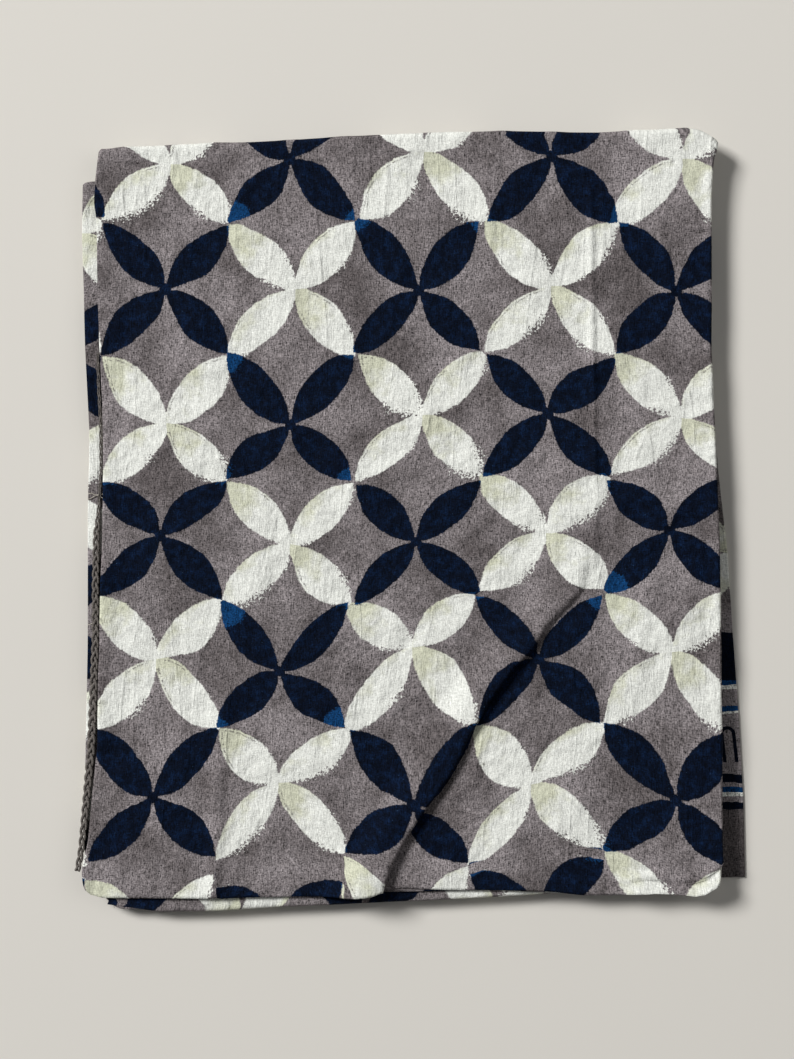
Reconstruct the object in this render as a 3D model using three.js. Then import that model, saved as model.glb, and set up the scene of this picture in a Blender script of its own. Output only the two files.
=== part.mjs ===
// Folded printed fabric: one length of cotton folded back and forth in six sections, and its loose edging.
// Millimetres, +Z up. +X is right and +Y is up as seen from above. Origin at the bottom centre of the whole.
import * as THREE from "three";

// Sizes of the folded stack
const PLY = 1.6; // one folded section of the cloth, itself four thin layers pressed together
const GAP = 0.4; // air between sections
const PITCH = PLY + GAP;
const TURN_REACH = PITCH / 2 + PLY / 2; // how far an end fold stands beyond the flat part
const TURN_STEPS = 4;
const EDGE_STEPS = [0, 0.5, 1.4]; // the last columns at each side, where the cloth's edge is rounded
const EDGE_THICKNESS = [0.5, 0.86, 1];

// Sizes of the diagonal pleat in the top section
const PLEAT_RADIUS = 1.3;
const PLEAT_RISE = 20; // length of the slope up towards the crest
const PLEAT_LEVEL = 2.2; // level length beside the crest, beyond what the pleat covers
const PLEAT_OUT = 6; // length that settles flat again beyond the pleat
const PLEAT_PARTS = [
  { part: "rise", steps: 5 },
  { part: "level", steps: 1 },
  { part: "over", steps: 4 },
  { part: "back", steps: 2 },
  { part: "under", steps: 4 },
  { part: "out", steps: 2 },
];

// Columns across the cloth: left panel, pleat, right panel
const LEFT_COLUMNS = 7;
const PLEAT_COLUMNS = PLEAT_PARTS.reduce((sum, row) => sum + row.steps, 0);
const RIGHT_COLUMNS = 6;
const COLUMNS = LEFT_COLUMNS + PLEAT_COLUMNS + RIGHT_COLUMNS;

// Edges of the top section, as read along the cloth
const TOP_LEFT = [
  { y: 167.0, x: -138.4 },
  { y: 155.7, x: -140.6 },
  { y: 144.5, x: -141.5 },
  { y: 134.6, x: -140.2 },
  { y: 104.0, x: -139.7 },
  { y: 77.0, x: -138.8 },
  { y: 54.5, x: -137.5 },
  { y: 9.5, x: -137.0 },
  { y: -17.6, x: -137.9 },
  { y: -71.5, x: -139.3 },
  { y: -98.5, x: -139.7 },
  { y: -121.0, x: -142.0 },
  { y: -143.6, x: -144.2 },
  { y: -161.6, x: -147.8 },
  { y: -167.0, x: -145.5 },
];
const TOP_RIGHT = [
  { y: 176.0, x: 133.6 },
  { y: 168.0, x: 137.0 },
  { y: 159.3, x: 136.6 },
  { y: 144.5, x: 136.1 },
  { y: 77.0, x: 136.1 },
  { y: 54.5, x: 137.0 },
  { y: 22.9, x: 138.4 },
  { y: -4.0, x: 139.7 },
  { y: -80.5, x: 140.6 },
  { y: -155.0, x: 141.5 },
  { y: -161.6, x: 139.3 },
  { y: -168.8, x: 134.0 },
];
const TOP_FAR = [
  { x: -138.4, y: 167.0 },
  { x: -78.1, y: 170.1 },
  { x: -26.3, y: 172.8 },
  { x: 41.2, y: 175.5 },
  { x: 86.2, y: 174.6 },
  { x: 122.0, y: 176.2 },
  { x: 138.5, y: 174.4 },
];
const TOP_NEAR = [
  { x: -147.8, y: -162.0 },
  { x: -145.6, y: -166.1 },
  { x: -136.6, y: -169.7 },
  { x: -88.4, y: -169.7 },
  { x: -53.3, y: -168.8 },
  { x: -17.3, y: -168.8 },
  { x: -8.0, y: -166.6 },
  { x: 17.3, y: -166.1 },
  { x: 63.7, y: -166.5 },
  { x: 79.4, y: -168.4 },
  { x: 110.9, y: -167.6 },
  { x: 129.8, y: -168.4 },
  { x: 141.1, y: -161.5 },
];

// Edges of the lower sections that show beside the top one
const STRIP_LEFT = [
  { y: 154.3, x: -147.2 },
  { y: 131.0, x: -147.8 },
  { y: 104.0, x: -146.9 },
  { y: 81.5, x: -146.5 },
  { y: 54.5, x: -145.1 },
  { y: 36.5, x: -144.2 },
  { y: 9.5, x: -145.1 },
  { y: -53.6, x: -145.1 },
  { y: -80.5, x: -145.6 },
  { y: -125.5, x: -146.5 },
  { y: -152.6, x: -146.9 },
  { y: -162.0, x: -144.6 },
  { y: -169.0, x: -138.0 },
  { y: -174.2, x: -133.4 },
];
const STRIP_NEAR = [
  { x: -138.0, y: -171.0 },
  { x: -133.4, y: -174.2 },
  { x: -129.8, y: -176.4 },
  { x: -96.1, y: -176.4 },
  { x: -54.2, y: -173.7 },
  { x: -3.8, y: -171.5 },
  { x: 41.2, y: -169.2 },
  { x: 79.4, y: -167.0 },
  { x: 131.2, y: -161.0 },
];
const STRIP_FAR = [
  { x: -147.5, y: 153.6 },
  { x: -60, y: 158.0 },
  { x: 60, y: 163.0 },
  { x: 134, y: 166.0 },
];
const STRIP_RIGHT = [
  { y: 170.0, x: 133.0 },
  { y: 60.0, x: 135.0 },
  { y: 5.9, x: 140.2 },
  { y: -8.6, x: 142.0 },
  { y: -26.6, x: 143.3 },
  { y: -49.1, x: 144.7 },
  { y: -80.5, x: 146.9 },
  { y: -98.5, x: 148.3 },
  { y: -125.5, x: 149.6 },
  { y: -139.1, x: 150.5 },
  { y: -156.2, x: 151.4 },
  { y: -160.5, x: 150.2 },
];
const MID_LEFT = [
  { y: 170.0, x: -137.0 },
  { y: 60.0, x: -136.0 },
  { y: -60.0, x: -136.8 },
  { y: -120.0, x: -139.5 },
  { y: -150.0, x: -142.5 },
  { y: -163.0, x: -142.5 },
  { y: -169.0, x: -138.0 },
  { y: -174.2, x: -133.4 },
];
const MID_RIGHT = [
  { y: 170.0, x: 132.0 },
  { y: 60.0, x: 134.5 },
  { y: -60.0, x: 138.0 },
  { y: -165.0, x: 139.0 },
];
const FIRST_FAR = [
  { x: -138, y: 161.0 },
  { x: 134, y: 170.0 },
];
const TURN_NEAR = [
  { x: -140, y: -166.5 },
  { x: 60, y: -164.0 },
  { x: 152, y: -156.8 },
];
const END_NEAR = [
  { x: -140, y: -165.5 },
  { x: 80, y: -163.5 },
  { x: 152, y: -160.6 },
];

// The sections from the bottom up. leftIn and rightIn: how far its sides stand in from the edge table.
// rows: number of equal lengths it is cut into. cuts: instead, shares of its length where its rows lie.
const CUTS = [0, 0.03, 0.25, 0.5, 0.75, 1];
const SECTIONS = [
  { left: MID_LEFT, right: STRIP_RIGHT, leftIn: 1.5, rightIn: 0, near: END_NEAR, far: FIRST_FAR, rows: 4 },
  { left: MID_LEFT, right: MID_RIGHT, leftIn: 0.5, rightIn: 0, near: TURN_NEAR, far: FIRST_FAR, rows: 4 },
  { left: MID_LEFT, right: MID_RIGHT, leftIn: 2, rightIn: 0, near: TURN_NEAR, far: STRIP_FAR, rows: 4 },
  { left: STRIP_LEFT, right: MID_RIGHT, leftIn: 0, rightIn: 1.5, near: STRIP_NEAR, far: STRIP_FAR, rows: 10 },
  { left: MID_LEFT, right: MID_RIGHT, leftIn: 0, rightIn: 0.4, near: STRIP_NEAR, far: TOP_FAR, cuts: CUTS },
  { left: TOP_LEFT, right: TOP_RIGHT, leftIn: 0, rightIn: 0, near: TOP_NEAR, far: TOP_FAR, rows: 31 },
];
const TOP = SECTIONS.length - 1;

// The pleat: where its crest runs, how far it has turned over (1 lies flat on itself), and how much it covers
const PLEAT_LINE = [
  { y: 170.0, x: 82.6, turn: 0, cover: 0.8 },
  { y: 31.9, x: 82.6, turn: 0, cover: 0.8 },
  { y: -29.2, x: 79.0, turn: 0, cover: 0.8 },
  { y: -46.8, x: 62.3, turn: 0.12, cover: 0.8 },
  { y: -57.1, x: 56.0, turn: 0.22, cover: 0.8 },
  { y: -65.2, x: 47.5, turn: 0.36, cover: 0.8 },
  { y: -78.8, x: 37.1, turn: 0.62, cover: 0.8 },
  { y: -89.1, x: 31.3, turn: 0.86, cover: 0.8 },
  { y: -96.3, x: 26.8, turn: 1, cover: 1.0 },
  { y: -109.8, x: 20.9, turn: 1, cover: 2.2 },
  { y: -120.2, x: 13.7, turn: 1, cover: 3.2 },
  { y: -134.6, x: 3.4, turn: 1, cover: 4.6 },
  { y: -144.0, x: -2.9, turn: 1, cover: 5.6 },
  { y: -156.2, x: -9.2, turn: 1, cover: 6.8 },
  { y: -163.8, x: -11.5, turn: 1, cover: 7.4 },
  { y: -170.0, x: -13.0, turn: 1, cover: 7.8 },
];

// Soft pressed ridges in the top section: ends, height and half width
const RIDGES = [
  { x0: 83, y0: 165, x1: 82, y1: -25, high: 0.6, wide: 5 },
  { x0: -88, y0: -170, x1: -84, y1: -100, high: 0.7, wide: 6 },
  { x0: 112, y0: 140, x1: 119, y1: 100, high: 0.7, wide: 6 },
  { x0: 5, y0: 103, x1: 18, y1: 103, high: 0.6, wide: 6 },
  { x0: -120, y0: 60, x1: -60, y1: -40, high: 0.5, wide: 14 },
  { x0: -30, y0: 60, x1: 40, y1: 20, high: 0.6, wide: 12 },
  { x0: 100, y0: 30, x1: 128, y1: -60, high: 0.6, wide: 10 },
  { x0: 90, y0: -90, x1: 60, y1: -150, high: 0.6, wide: 12 },
];

// The near right corner of the top section curls up from a crease
const CURL_CREASE = [
  { x: 90, y: -175.0 },
  { x: 106.4, y: -163.5 },
  { x: 119.9, y: -162.9 },
  { x: 139.7, y: -159.3 },
];
const CURL_SLOPE = 0.45;

// The far right corner stands a little proud
const PUFF = { x: 126, y: 166, high: 0.8, wide: 20 };

// The loose edging: half width and half height of its plait along its length
const BRAID_PATH = [
  { y: 76.0, x: -140.3, wide: 0.7, high: 0.6 },
  { y: 61.2, x: -139.9, wide: 0.9, high: 0.7 },
  { y: 45.5, x: -139.0, wide: 0.9, high: 0.7 },
  { y: 22.9, x: -138.9, wide: 0.8, high: 0.7 },
  { y: 5.0, x: -139.9, wide: 0.9, high: 0.8 },
  { y: -6.0, x: -140.8, wide: 1.9, high: 0.9 },
  { y: -53.6, x: -141.2, wide: 2.0, high: 1.0 },
  { y: -90.0, x: -142.6, wide: 2.2, high: 1.0 },
  { y: -103.0, x: -143.2, wide: 2.2, high: 1.0 },
  { y: -125.5, x: -145.3, wide: 2.0, high: 1.0 },
  { y: -148.1, x: -147.6, wide: 1.6, high: 0.9 },
  { y: -158.0, x: -149.7, wide: 1.6, high: 0.8 },
];
const BRAID_STEP = 3;
const BRAID_SIDES = 8;
const BRAID_SWELL = 0.1; // each loop of the plait is this share wider than the waist between two loops
const CLEAR = 0.35;

const lerp = (a, b, t) => a + (b - a) * t;

// Smooth step from 0 to 1 as t goes from a to b
function smooth(a, b, t) {
  const k = Math.min(1, Math.max(0, (t - a) / (b - a)));
  return k * k * (3 - 2 * k);
}

// Reads one column of a table at a place along another column
function read(table, along, at, wanted) {
  const rising = table[0][along] < table[table.length - 1][along];
  const rows = rising ? table : [...table].reverse();
  if (at <= rows[0][along]) return rows[0][wanted];
  for (let i = 1; i < rows.length; i += 1) {
    if (at <= rows[i][along]) {
      const t = (at - rows[i - 1][along]) / (rows[i][along] - rows[i - 1][along]);
      return lerp(rows[i - 1][wanted], rows[i][wanted], t);
    }
  }
  return rows[rows.length - 1][wanted];
}

// Height that the creases, the curl and the proud corner add to the top section
function relief(x, y) {
  let high = 0;
  for (const ridge of RIDGES) {
    const dx = ridge.x1 - ridge.x0;
    const dy = ridge.y1 - ridge.y0;
    const t = Math.min(1, Math.max(0, ((x - ridge.x0) * dx + (y - ridge.y0) * dy) / (dx * dx + dy * dy)));
    const away = Math.hypot(x - ridge.x0 - t * dx, y - ridge.y0 - t * dy);
    high += ridge.high * Math.exp(-((away / ridge.wide) ** 2));
  }
  const below = read(CURL_CREASE, "x", x, "y") - y;
  if (below > 0) high += CURL_SLOPE * below * smooth(92, 108, x);
  high += PUFF.high * Math.exp(-((x - PUFF.x) ** 2 + (y - PUFF.y) ** 2) / PUFF.wide ** 2);
  return high;
}

// Cross-section of the pleat: steps along the cloth as offsets from its crest, level at both ends
function pleatProfile(turn, cover) {
  const full = Math.PI * turn;
  const arc = Math.PI * PLEAT_RADIUS;
  const length = {
    rise: PLEAT_RISE,
    level: PLEAT_LEVEL + cover,
    over: arc,
    back: cover,
    under: arc,
    out: PLEAT_OUT,
  };
  const angle = {
    rise: () => 0,
    level: () => 0,
    over: (t) => -full * t,
    back: () => -full,
    under: (t) => -full * (1 - t),
    out: () => 0,
  };
  const steps = [];
  for (const { part, steps: count } of PLEAT_PARTS) {
    for (let i = 0; i < count; i += 1) {
      const t = (i + 0.5) / count;
      steps.push({ part, t, run: length[part] / count, angle: angle[part](t) });
    }
  }
  const drop = -steps.reduce((sum, s) => sum + s.run * Math.sin(s.angle), 0);
  const rising = steps.filter((s) => s.part === "rise");
  const lift = rising.reduce((sum, s) => sum + s.run * Math.sin(Math.PI * s.t), 0);
  const points = [{ x: 0, z: 0 }];
  for (const s of steps) {
    const last = points[points.length - 1];
    const slope = s.part === "rise" ? Math.asin((drop / lift) * Math.sin(Math.PI * s.t)) : s.angle;
    points.push({ x: last.x + s.run * Math.cos(slope), z: last.z + s.run * Math.sin(slope) });
  }
  const crest = Math.max(...points.slice(0, 12).map((p) => p.x));
  return points.map((p) => ({ x: p.x - crest, z: p.z }));
}

// Places of the columns across a plain section, close together at the rounded sides
function plainColumns(left, right) {
  const inner = COLUMNS - 2 * (EDGE_STEPS.length - 1);
  const edge = EDGE_STEPS[EDGE_STEPS.length - 1];
  const middle = Array.from({ length: inner + 1 }, (_, i) => lerp(left + edge, right - edge, i / inner));
  const first = EDGE_STEPS.slice(0, -1).map((step) => left + step);
  const last = EDGE_STEPS.slice(0, -1).map((step) => right - step).reverse();
  return [...first, ...middle, ...last];
}

// Places and heights of the columns across the top section, which follow the pleat
function topColumns(left, right, y) {
  const crest = read(PLEAT_LINE, "y", y, "x");
  const turn = read(PLEAT_LINE, "y", y, "turn");
  const profile = pleatProfile(turn, read(PLEAT_LINE, "y", y, "cover"));
  const start = crest + profile[0].x;
  const end = crest + profile[profile.length - 1].x;
  const places = [];
  const edges = EDGE_STEPS.length - 1;
  for (let i = 0; i < edges; i += 1) places.push({ x: left + EDGE_STEPS[i], z: 0 });
  const leftInner = LEFT_COLUMNS - edges;
  const leftEdge = left + EDGE_STEPS[edges];
  for (let i = 0; i < leftInner; i += 1) places.push({ x: lerp(leftEdge, start, i / leftInner), z: 0 });
  for (const point of profile) places.push({ x: crest + point.x, z: point.z });
  const rightInner = RIGHT_COLUMNS - edges;
  const rightEdge = right - EDGE_STEPS[edges];
  for (let i = 1; i <= rightInner; i += 1) places.push({ x: lerp(end, rightEdge, i / rightInner), z: 0 });
  for (let i = edges - 1; i >= 0; i -= 1) places.push({ x: right - EDGE_STEPS[i], z: 0 });
  const plain = plainColumns(left, right);
  const even = smooth(70, 160, y);
  return places.map((place, i) => ({ x: lerp(place.x, plain[i], even), z: place.z }));
}

// One row of points across a section, at share r of the way from its near end to its far end
function sectionRow(index, r) {
  const section = SECTIONS[index];
  const nearTurns = index > 0 && index < TOP;
  const yAt = (x) => {
    const near = read(section.near, "x", x, "y") + (nearTurns ? TURN_REACH : 0);
    const far = read(section.far, "x", x, "y") - TURN_REACH;
    return lerp(near, far, r);
  };
  const left = read(section.left, "y", yAt(-145), "x") + section.leftIn;
  const right = read(section.right, "y", yAt(140), "x") - section.rightIn;
  const level = PLY / 2 + index * PITCH;
  if (index < TOP) {
    return plainColumns(left, right).map((x) => new THREE.Vector3(x, yAt(x), level));
  }
  const middle = read(PLEAT_LINE, "y", yAt(0), "x");
  return topColumns(left, right, yAt(middle)).map(({ x, z }) => {
    return new THREE.Vector3(x, yAt(x), level + z + relief(x, yAt(x)));
  });
}

// All rows of the folded cloth, from its end in the bottom section to its end in the top one
function clothRows() {
  const rows = [];
  for (let index = 0; index <= TOP; index += 1) {
    const awayFromNear = index % 2 === 0;
    const { rows: count, cuts = Array.from({ length: count + 1 }, (_, i) => i / count) } = SECTIONS[index];
    for (const cut of awayFromNear ? cuts : [...cuts].reverse()) rows.push(sectionRow(index, cut));
    if (index === TOP) break;
    const from = rows[rows.length - 1];
    const to = sectionRow(index + 1, awayFromNear ? 1 : 0);
    for (let k = 1; k <= TURN_STEPS; k += 1) {
      const phi = (Math.PI * k) / (TURN_STEPS + 1);
      const share = (1 - Math.cos(phi)) / 2;
      const reach = ((awayFromNear ? 1 : -1) * Math.sin(phi)) / 2;
      rows.push(from.map((a, i) => {
        const out = new THREE.Vector3(0, reach * (to[i].z - a.z), 0);
        return a.clone().lerp(to[i], share).add(out);
      }));
    }
  }
  return rows;
}

// Closed mesh from a grid of middle points, given its thickness, with rounded sides
function thicken(rows) {
  const last = rows.length - 1;
  const width = rows[0].length;
  const positions = [];
  const sideOffset = (i) => {
    const fromEdge = Math.min(i, width - 1 - i);
    return (PLY / 2) * (fromEdge < EDGE_THICKNESS.length ? EDGE_THICKNESS[fromEdge] : 1);
  };
  for (const sign of [1, -1]) {
    for (let j = 0; j <= last; j += 1) {
      for (let i = 0; i < width; i += 1) {
        const across = rows[j][Math.min(i + 1, width - 1)].clone().sub(rows[j][Math.max(i - 1, 0)]);
        const along = rows[Math.min(j + 1, last)][i].clone().sub(rows[Math.max(j - 1, 0)][i]);
        const normal = across.cross(along).normalize();
        const point = rows[j][i].clone().addScaledVector(normal, sign * sideOffset(i));
        positions.push(point.x, point.y, point.z);
      }
    }
  }
  const upper = (i, j) => j * width + i;
  const lower = (i, j) => (last + 1) * width + j * width + i;
  const faces = [];
  const quad = (a, b, c, d) => faces.push(a, b, c, a, c, d);
  for (let j = 0; j < last; j += 1) {
    for (let i = 0; i < width - 1; i += 1) {
      quad(upper(i, j), upper(i + 1, j), upper(i + 1, j + 1), upper(i, j + 1));
      quad(lower(i, j), lower(i, j + 1), lower(i + 1, j + 1), lower(i + 1, j));
    }
    quad(upper(0, j), upper(0, j + 1), lower(0, j + 1), lower(0, j));
    quad(upper(width - 1, j), lower(width - 1, j), lower(width - 1, j + 1), upper(width - 1, j + 1));
  }
  for (let i = 0; i < width - 1; i += 1) {
    quad(upper(i, 0), lower(i, 0), lower(i + 1, 0), upper(i + 1, 0));
    quad(upper(i, last), upper(i + 1, last), lower(i + 1, last), lower(i, last));
  }
  return closedGeometry(positions, faces);
}

// Geometry from plain lists of coordinates and corner numbers
function closedGeometry(positions, faces) {
  const geometry = new THREE.BufferGeometry();
  geometry.setAttribute("position", new THREE.Float32BufferAttribute(positions, 3));
  geometry.setIndex(faces);
  geometry.computeVertexNormals();
  return geometry;
}

// The plaited edging: a flattened tube that swells at each loop and lies on the left strip
function braidGeometry() {
  const first = BRAID_PATH[0].y;
  const length = first - BRAID_PATH[BRAID_PATH.length - 1].y;
  const count = Math.round(length / BRAID_STEP);
  const rest = 3 * PITCH + PLY + CLEAR;
  const positions = [];
  const faces = [];
  for (let j = 0; j <= count; j += 1) {
    const y = first - (length * j) / count;
    const swell = j % 2 === 0 ? 1 : 1 - BRAID_SWELL;
    const end = j === 0 || j === count ? 0.6 : 1;
    const wide = read(BRAID_PATH, "y", y, "wide") * swell * end;
    const high = read(BRAID_PATH, "y", y, "high") * end;
    const base = rest + read(BRAID_PATH, "y", y, "high");
    for (let k = 0; k < BRAID_SIDES; k += 1) {
      const a = (2 * Math.PI * (k + 0.5)) / BRAID_SIDES;
      const x = read(BRAID_PATH, "y", y, "x") + wide * Math.cos(a);
      positions.push(x, y, base + high * Math.sin(a));
    }
  }
  for (let j = 0; j < count; j += 1) {
    for (let k = 0; k < BRAID_SIDES; k += 1) {
      const a = j * BRAID_SIDES + k;
      const b = j * BRAID_SIDES + ((k + 1) % BRAID_SIDES);
      faces.push(a, b, b + BRAID_SIDES, a, b + BRAID_SIDES, a + BRAID_SIDES);
    }
  }
  const tail = count * BRAID_SIDES;
  for (let k = 1; k < BRAID_SIDES - 1; k += 1) {
    faces.push(0, k + 1, k);
    faces.push(tail, tail + k, tail + k + 1);
  }
  return closedGeometry(positions, faces);
}

// Named mesh with its own cloth finish
function piece(name, geometry, color) {
  const finish = new THREE.MeshStandardMaterial({ color, roughness: 0.9, metalness: 0 });
  const mesh = new THREE.Mesh(geometry, finish);
  mesh.name = name;
  return mesh;
}

const cloth = piece("folded_cloth", thicken(clothRows()), 0x4b5163);
const braid = piece("selvedge_braid", braidGeometry(), 0x8d8a86);

// Set the origin at the bottom centre of the whole
const box = new THREE.Box3();
for (const mesh of [cloth, braid]) {
  mesh.geometry.computeBoundingBox();
  box.union(mesh.geometry.boundingBox);
}
for (const mesh of [cloth, braid]) {
  mesh.geometry.translate(-(box.min.x + box.max.x) / 2, -(box.min.y + box.max.y) / 2, -box.min.z);
}

const group = new THREE.Group();
group.name = "folded_printed_fabric";
group.add(cloth, braid);

export default group;
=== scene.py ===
"""Folded printed cotton with its loose plaited edging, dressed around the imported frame."""

import logging
import math
from dataclasses import dataclass, field
from enum import Enum
from typing import Any

import bpy
import numpy as np
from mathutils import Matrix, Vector, noise


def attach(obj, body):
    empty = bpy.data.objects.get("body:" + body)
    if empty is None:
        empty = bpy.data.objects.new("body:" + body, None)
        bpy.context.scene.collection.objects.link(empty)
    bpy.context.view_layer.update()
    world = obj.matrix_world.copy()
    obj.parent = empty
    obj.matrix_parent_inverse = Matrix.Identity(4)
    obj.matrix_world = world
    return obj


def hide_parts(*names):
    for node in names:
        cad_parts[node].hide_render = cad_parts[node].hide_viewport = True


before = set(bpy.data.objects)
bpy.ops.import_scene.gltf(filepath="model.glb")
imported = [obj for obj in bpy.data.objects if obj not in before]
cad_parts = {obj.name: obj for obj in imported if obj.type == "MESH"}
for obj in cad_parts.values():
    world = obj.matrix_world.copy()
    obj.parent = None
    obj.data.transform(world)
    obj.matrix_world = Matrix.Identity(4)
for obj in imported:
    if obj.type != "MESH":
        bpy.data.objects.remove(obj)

log = logging.getLogger("folded_cotton")
MM = 0.001
X_SHIFT = -0.95  # mm from the tables' zero to the frame's
MOTIF = 57.15  # mm between neighbouring motifs of the print
PLY_RISE = 0.4  # mm from one thin layer to the next
CLOTH_THICK = 0.26  # mm
OPEN_END_ROWS = 10  # closer rows where a section's open end is rolled
FOLD_END_ROWS = (0.0, 0.2, 0.55)  # where the closer rows at its folded end lie, as shares of the same length


def linear(hex_colour: str) -> tuple[float, float, float, float]:
    """Turn an sRGB hex colour into linear RGBA.

    Args:
        hex_colour: Six hex digits with a leading hash.

    Returns:
        Linear red, green and blue, with full alpha.
    """
    parts = [int(hex_colour[i : i + 2], 16) / 255 for i in (1, 3, 5)]
    low = [c / 12.92 if c <= 0.04045 else ((c + 0.055) / 1.055) ** 2.4 for c in parts]
    return (low[0], low[1], low[2], 1.0)


def add(tree: bpy.types.NodeTree, kind: str, *values: Any, **settings: Any) -> bpy.types.Node:
    """Add one node to a tree.

    Args:
        tree: The node tree that gets the node.
        kind: The node's type name.
        values: One for each input in order: a node, a socket, a plain value, or None to leave it.
        settings: The node's own properties.

    Returns:
        The new node.
    """
    node = tree.nodes.new(kind)
    for name, value in settings.items():
        setattr(node, name, value)
    sockets = [s for s in node.inputs if s.enabled]
    for socket, value in zip(sockets, values):
        if isinstance(value, bpy.types.Node):
            value = next(o for o in value.outputs if o.enabled)
        if isinstance(value, bpy.types.NodeSocket):
            tree.links.new(value, socket)
        elif value is not None:
            socket.default_value = value
    return node


def new_group(name: str, kind: str, inputs: dict[str, str], outputs: dict[str, str]) -> bpy.types.NodeTree:
    """Make an empty node group with its sockets.

    Args:
        name: The group's name.
        kind: The tree's type name.
        inputs: Each input's name, with the end of its socket type.
        outputs: The same for each output.

    Returns:
        The new group.
    """
    tree = bpy.data.node_groups.new(name, kind)
    for way, sockets in (("INPUT", inputs), ("OUTPUT", outputs)):
        for label, socket_type in sockets.items():
            tree.interface.new_socket(label, in_out=way, socket_type="NodeSocket" + socket_type)
    return tree


def new_material(name: str) -> tuple[bpy.types.Material, bpy.types.NodeTree]:
    """Make a material with an empty node tree, and give both."""
    material = bpy.data.materials.new(name)
    material.use_nodes = True
    material.node_tree.nodes.clear()
    return material, material.node_tree


def laid_along(
    name: str, lines: list[list[tuple[float, ...]]], tree: bpy.types.NodeTree, settings: dict[str, Any]
) -> bpy.types.Object:
    """Lay what a node tree makes along some paths, and turn it into a plain mesh.

    Args:
        name: The new object's name.
        lines: The paths, each a list of x, y, z and half width in mm, on the tables' zero.
        tree: The Geometry Nodes tree, which gets the paths as its geometry.
        settings: Values for the tree's other inputs, by their names.

    Returns:
        The new object.
    """
    curve = bpy.data.curves.new(name + " path", "CURVE")
    curve.dimensions = "3D"
    for places in lines:
        line = curve.splines.new("POLY")
        line.points.add(len(places) - 1)
        for point, (x, y, z, half) in zip(line.points, places):
            point.co = ((x + X_SHIFT) * MM, y * MM, z * MM, 1)
            point.radius = half * MM
    path = bpy.data.objects.new(name + " path", curve)
    bpy.context.scene.collection.objects.link(path)
    rule = path.modifiers.new(tree.name, "NODES")
    rule.node_group = tree
    for item in tree.interface.items_tree:
        if item.in_out == "INPUT" and item.name in settings:
            rule[item.identifier] = settings[item.name]
    mesh = bpy.data.meshes.new_from_object(path.evaluated_get(bpy.context.evaluated_depsgraph_get()))
    mesh.name = name
    made = bpy.data.objects.new(name, mesh)
    bpy.context.scene.collection.objects.link(made)
    bpy.data.objects.remove(path)
    return made


def smooth(low: float, high: float, value: np.ndarray | float) -> np.ndarray:
    """Ease from 0 to 1 as value goes from low to high.

    Args:
        low: Where the step starts.
        high: Where it ends; may be less than low.
        value: Where it is read.

    Returns:
        The eased share.
    """
    share = np.clip((np.asarray(value, dtype=float) - low) / (high - low), 0, 1)
    return share * share * (3 - 2 * share)


@dataclass(frozen=True)
class Edge:
    """One edge line of the cloth, in millimetres: where it stands at each place along it."""

    along: tuple[float, ...]
    at: tuple[float, ...]

    def read(self, place: np.ndarray | float) -> np.ndarray:
        """Give the edge's position at a place along it."""
        order = np.argsort(self.along)
        return np.interp(place, np.array(self.along)[order], np.array(self.at)[order])


@dataclass(frozen=True)
class Section:
    """One flat length of the folded cloth, its four sides and where the print lies on it.

    print_row gives the cloth's length coordinate, in mm from the bordered end, at each y. print_axis gives the x
    of the print's own centre line at each y.
    """

    left: Edge
    right: Edge
    near: Edge
    far: Edge
    rows: tuple[float, ...]
    print_row: Edge
    print_axis: Edge
    left_in: float = 0.0
    right_in: float = 0.0


# The cloth's sides in mm, seen from above. TOP is the uppermost section, STRIP a lower one where it shows past the
# top, INNER the sections that lie hidden, and FIRST, SECOND and END the lowest ones, from the border on.
TOP_LEFT = Edge(
    along=(167, 163, 155.7, 144.5, 134.6, 104, 77, 54.5, 9.5, -17.6, -71.5, -98.5, -121, -143.6, -159, -165, -170),
    at=(-138.4, -139.4, -140.6, -141.5, -140.2, -139.7, -138.8, -137.5, -137, -137.9, -139.3, -139.7, -142, -144.2,
        -147.2, -146.6, -143),
)
TOP_RIGHT = Edge(
    along=(176, 173.5, 170.5, 167, 163, 159.3, 144.5, 77, 54.5, 22.9, -4, -35.6, -80.5, -125.5, -155, -161.6, -168.8),
    at=(130.5, 134, 136.6, 138.4, 137.6, 136.8, 136.1, 136.1, 137, 138.4, 139.7, 140.2, 140.6, 141.1, 141.5, 139.3,
        131.5),
)
TOP_FAR = Edge(
    along=(-139, -130, -78.1, -26.3, 10, 41.2, 86.2, 112, 126.7, 132.5, 137, 139),
    at=(166.5, 168.2, 170.1, 172.8, 174.6, 175.5, 174.6, 175.6, 176.4, 175, 171.2, 168.5),
)
TOP_NEAR = Edge(
    along=(-147.8, -146.4, -143.5, -138, -126.7, -90, -87.5, -84, -53.3, -26, -17.3, -11, -5, 17.3, 41.2, 63.7, 79.4,
           95, 110.9, 122, 129.8, 135, 139.3, 141.5),
    at=(-161.5, -165, -168, -169.6, -169.8, -169.9, -169.2, -169.8, -168.9, -169.2, -168.6, -166, -165.2, -166.1,
        -166.2, -166.8, -168.6, -168.2, -167.4, -167.8, -168.8, -167.4, -163.5, -160.5),
)
HEM_CREASE = Edge(
    along=(96, 104, 111.7, 122.6, 130.2, 136.6, 140.2), at=(-164, -160.5, -161.5, -162.5, -162.8, -158.6, -156.5)
)
STRIP_LEFT = Edge(
    along=(154.3, 152, 131, 104, 81.5, 54.5, 36.5, 9.5, -53.6, -80.5, -98.5, -125.5, -152.6, -162, -169, -174.2),
    at=(-145.5, -147.4, -147.8, -146.9, -146.5, -145.1, -144.2, -145.1, -145.1, -145.6, -146, -146.5, -146.9, -144.6,
        -138, -133.4),
)
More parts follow.
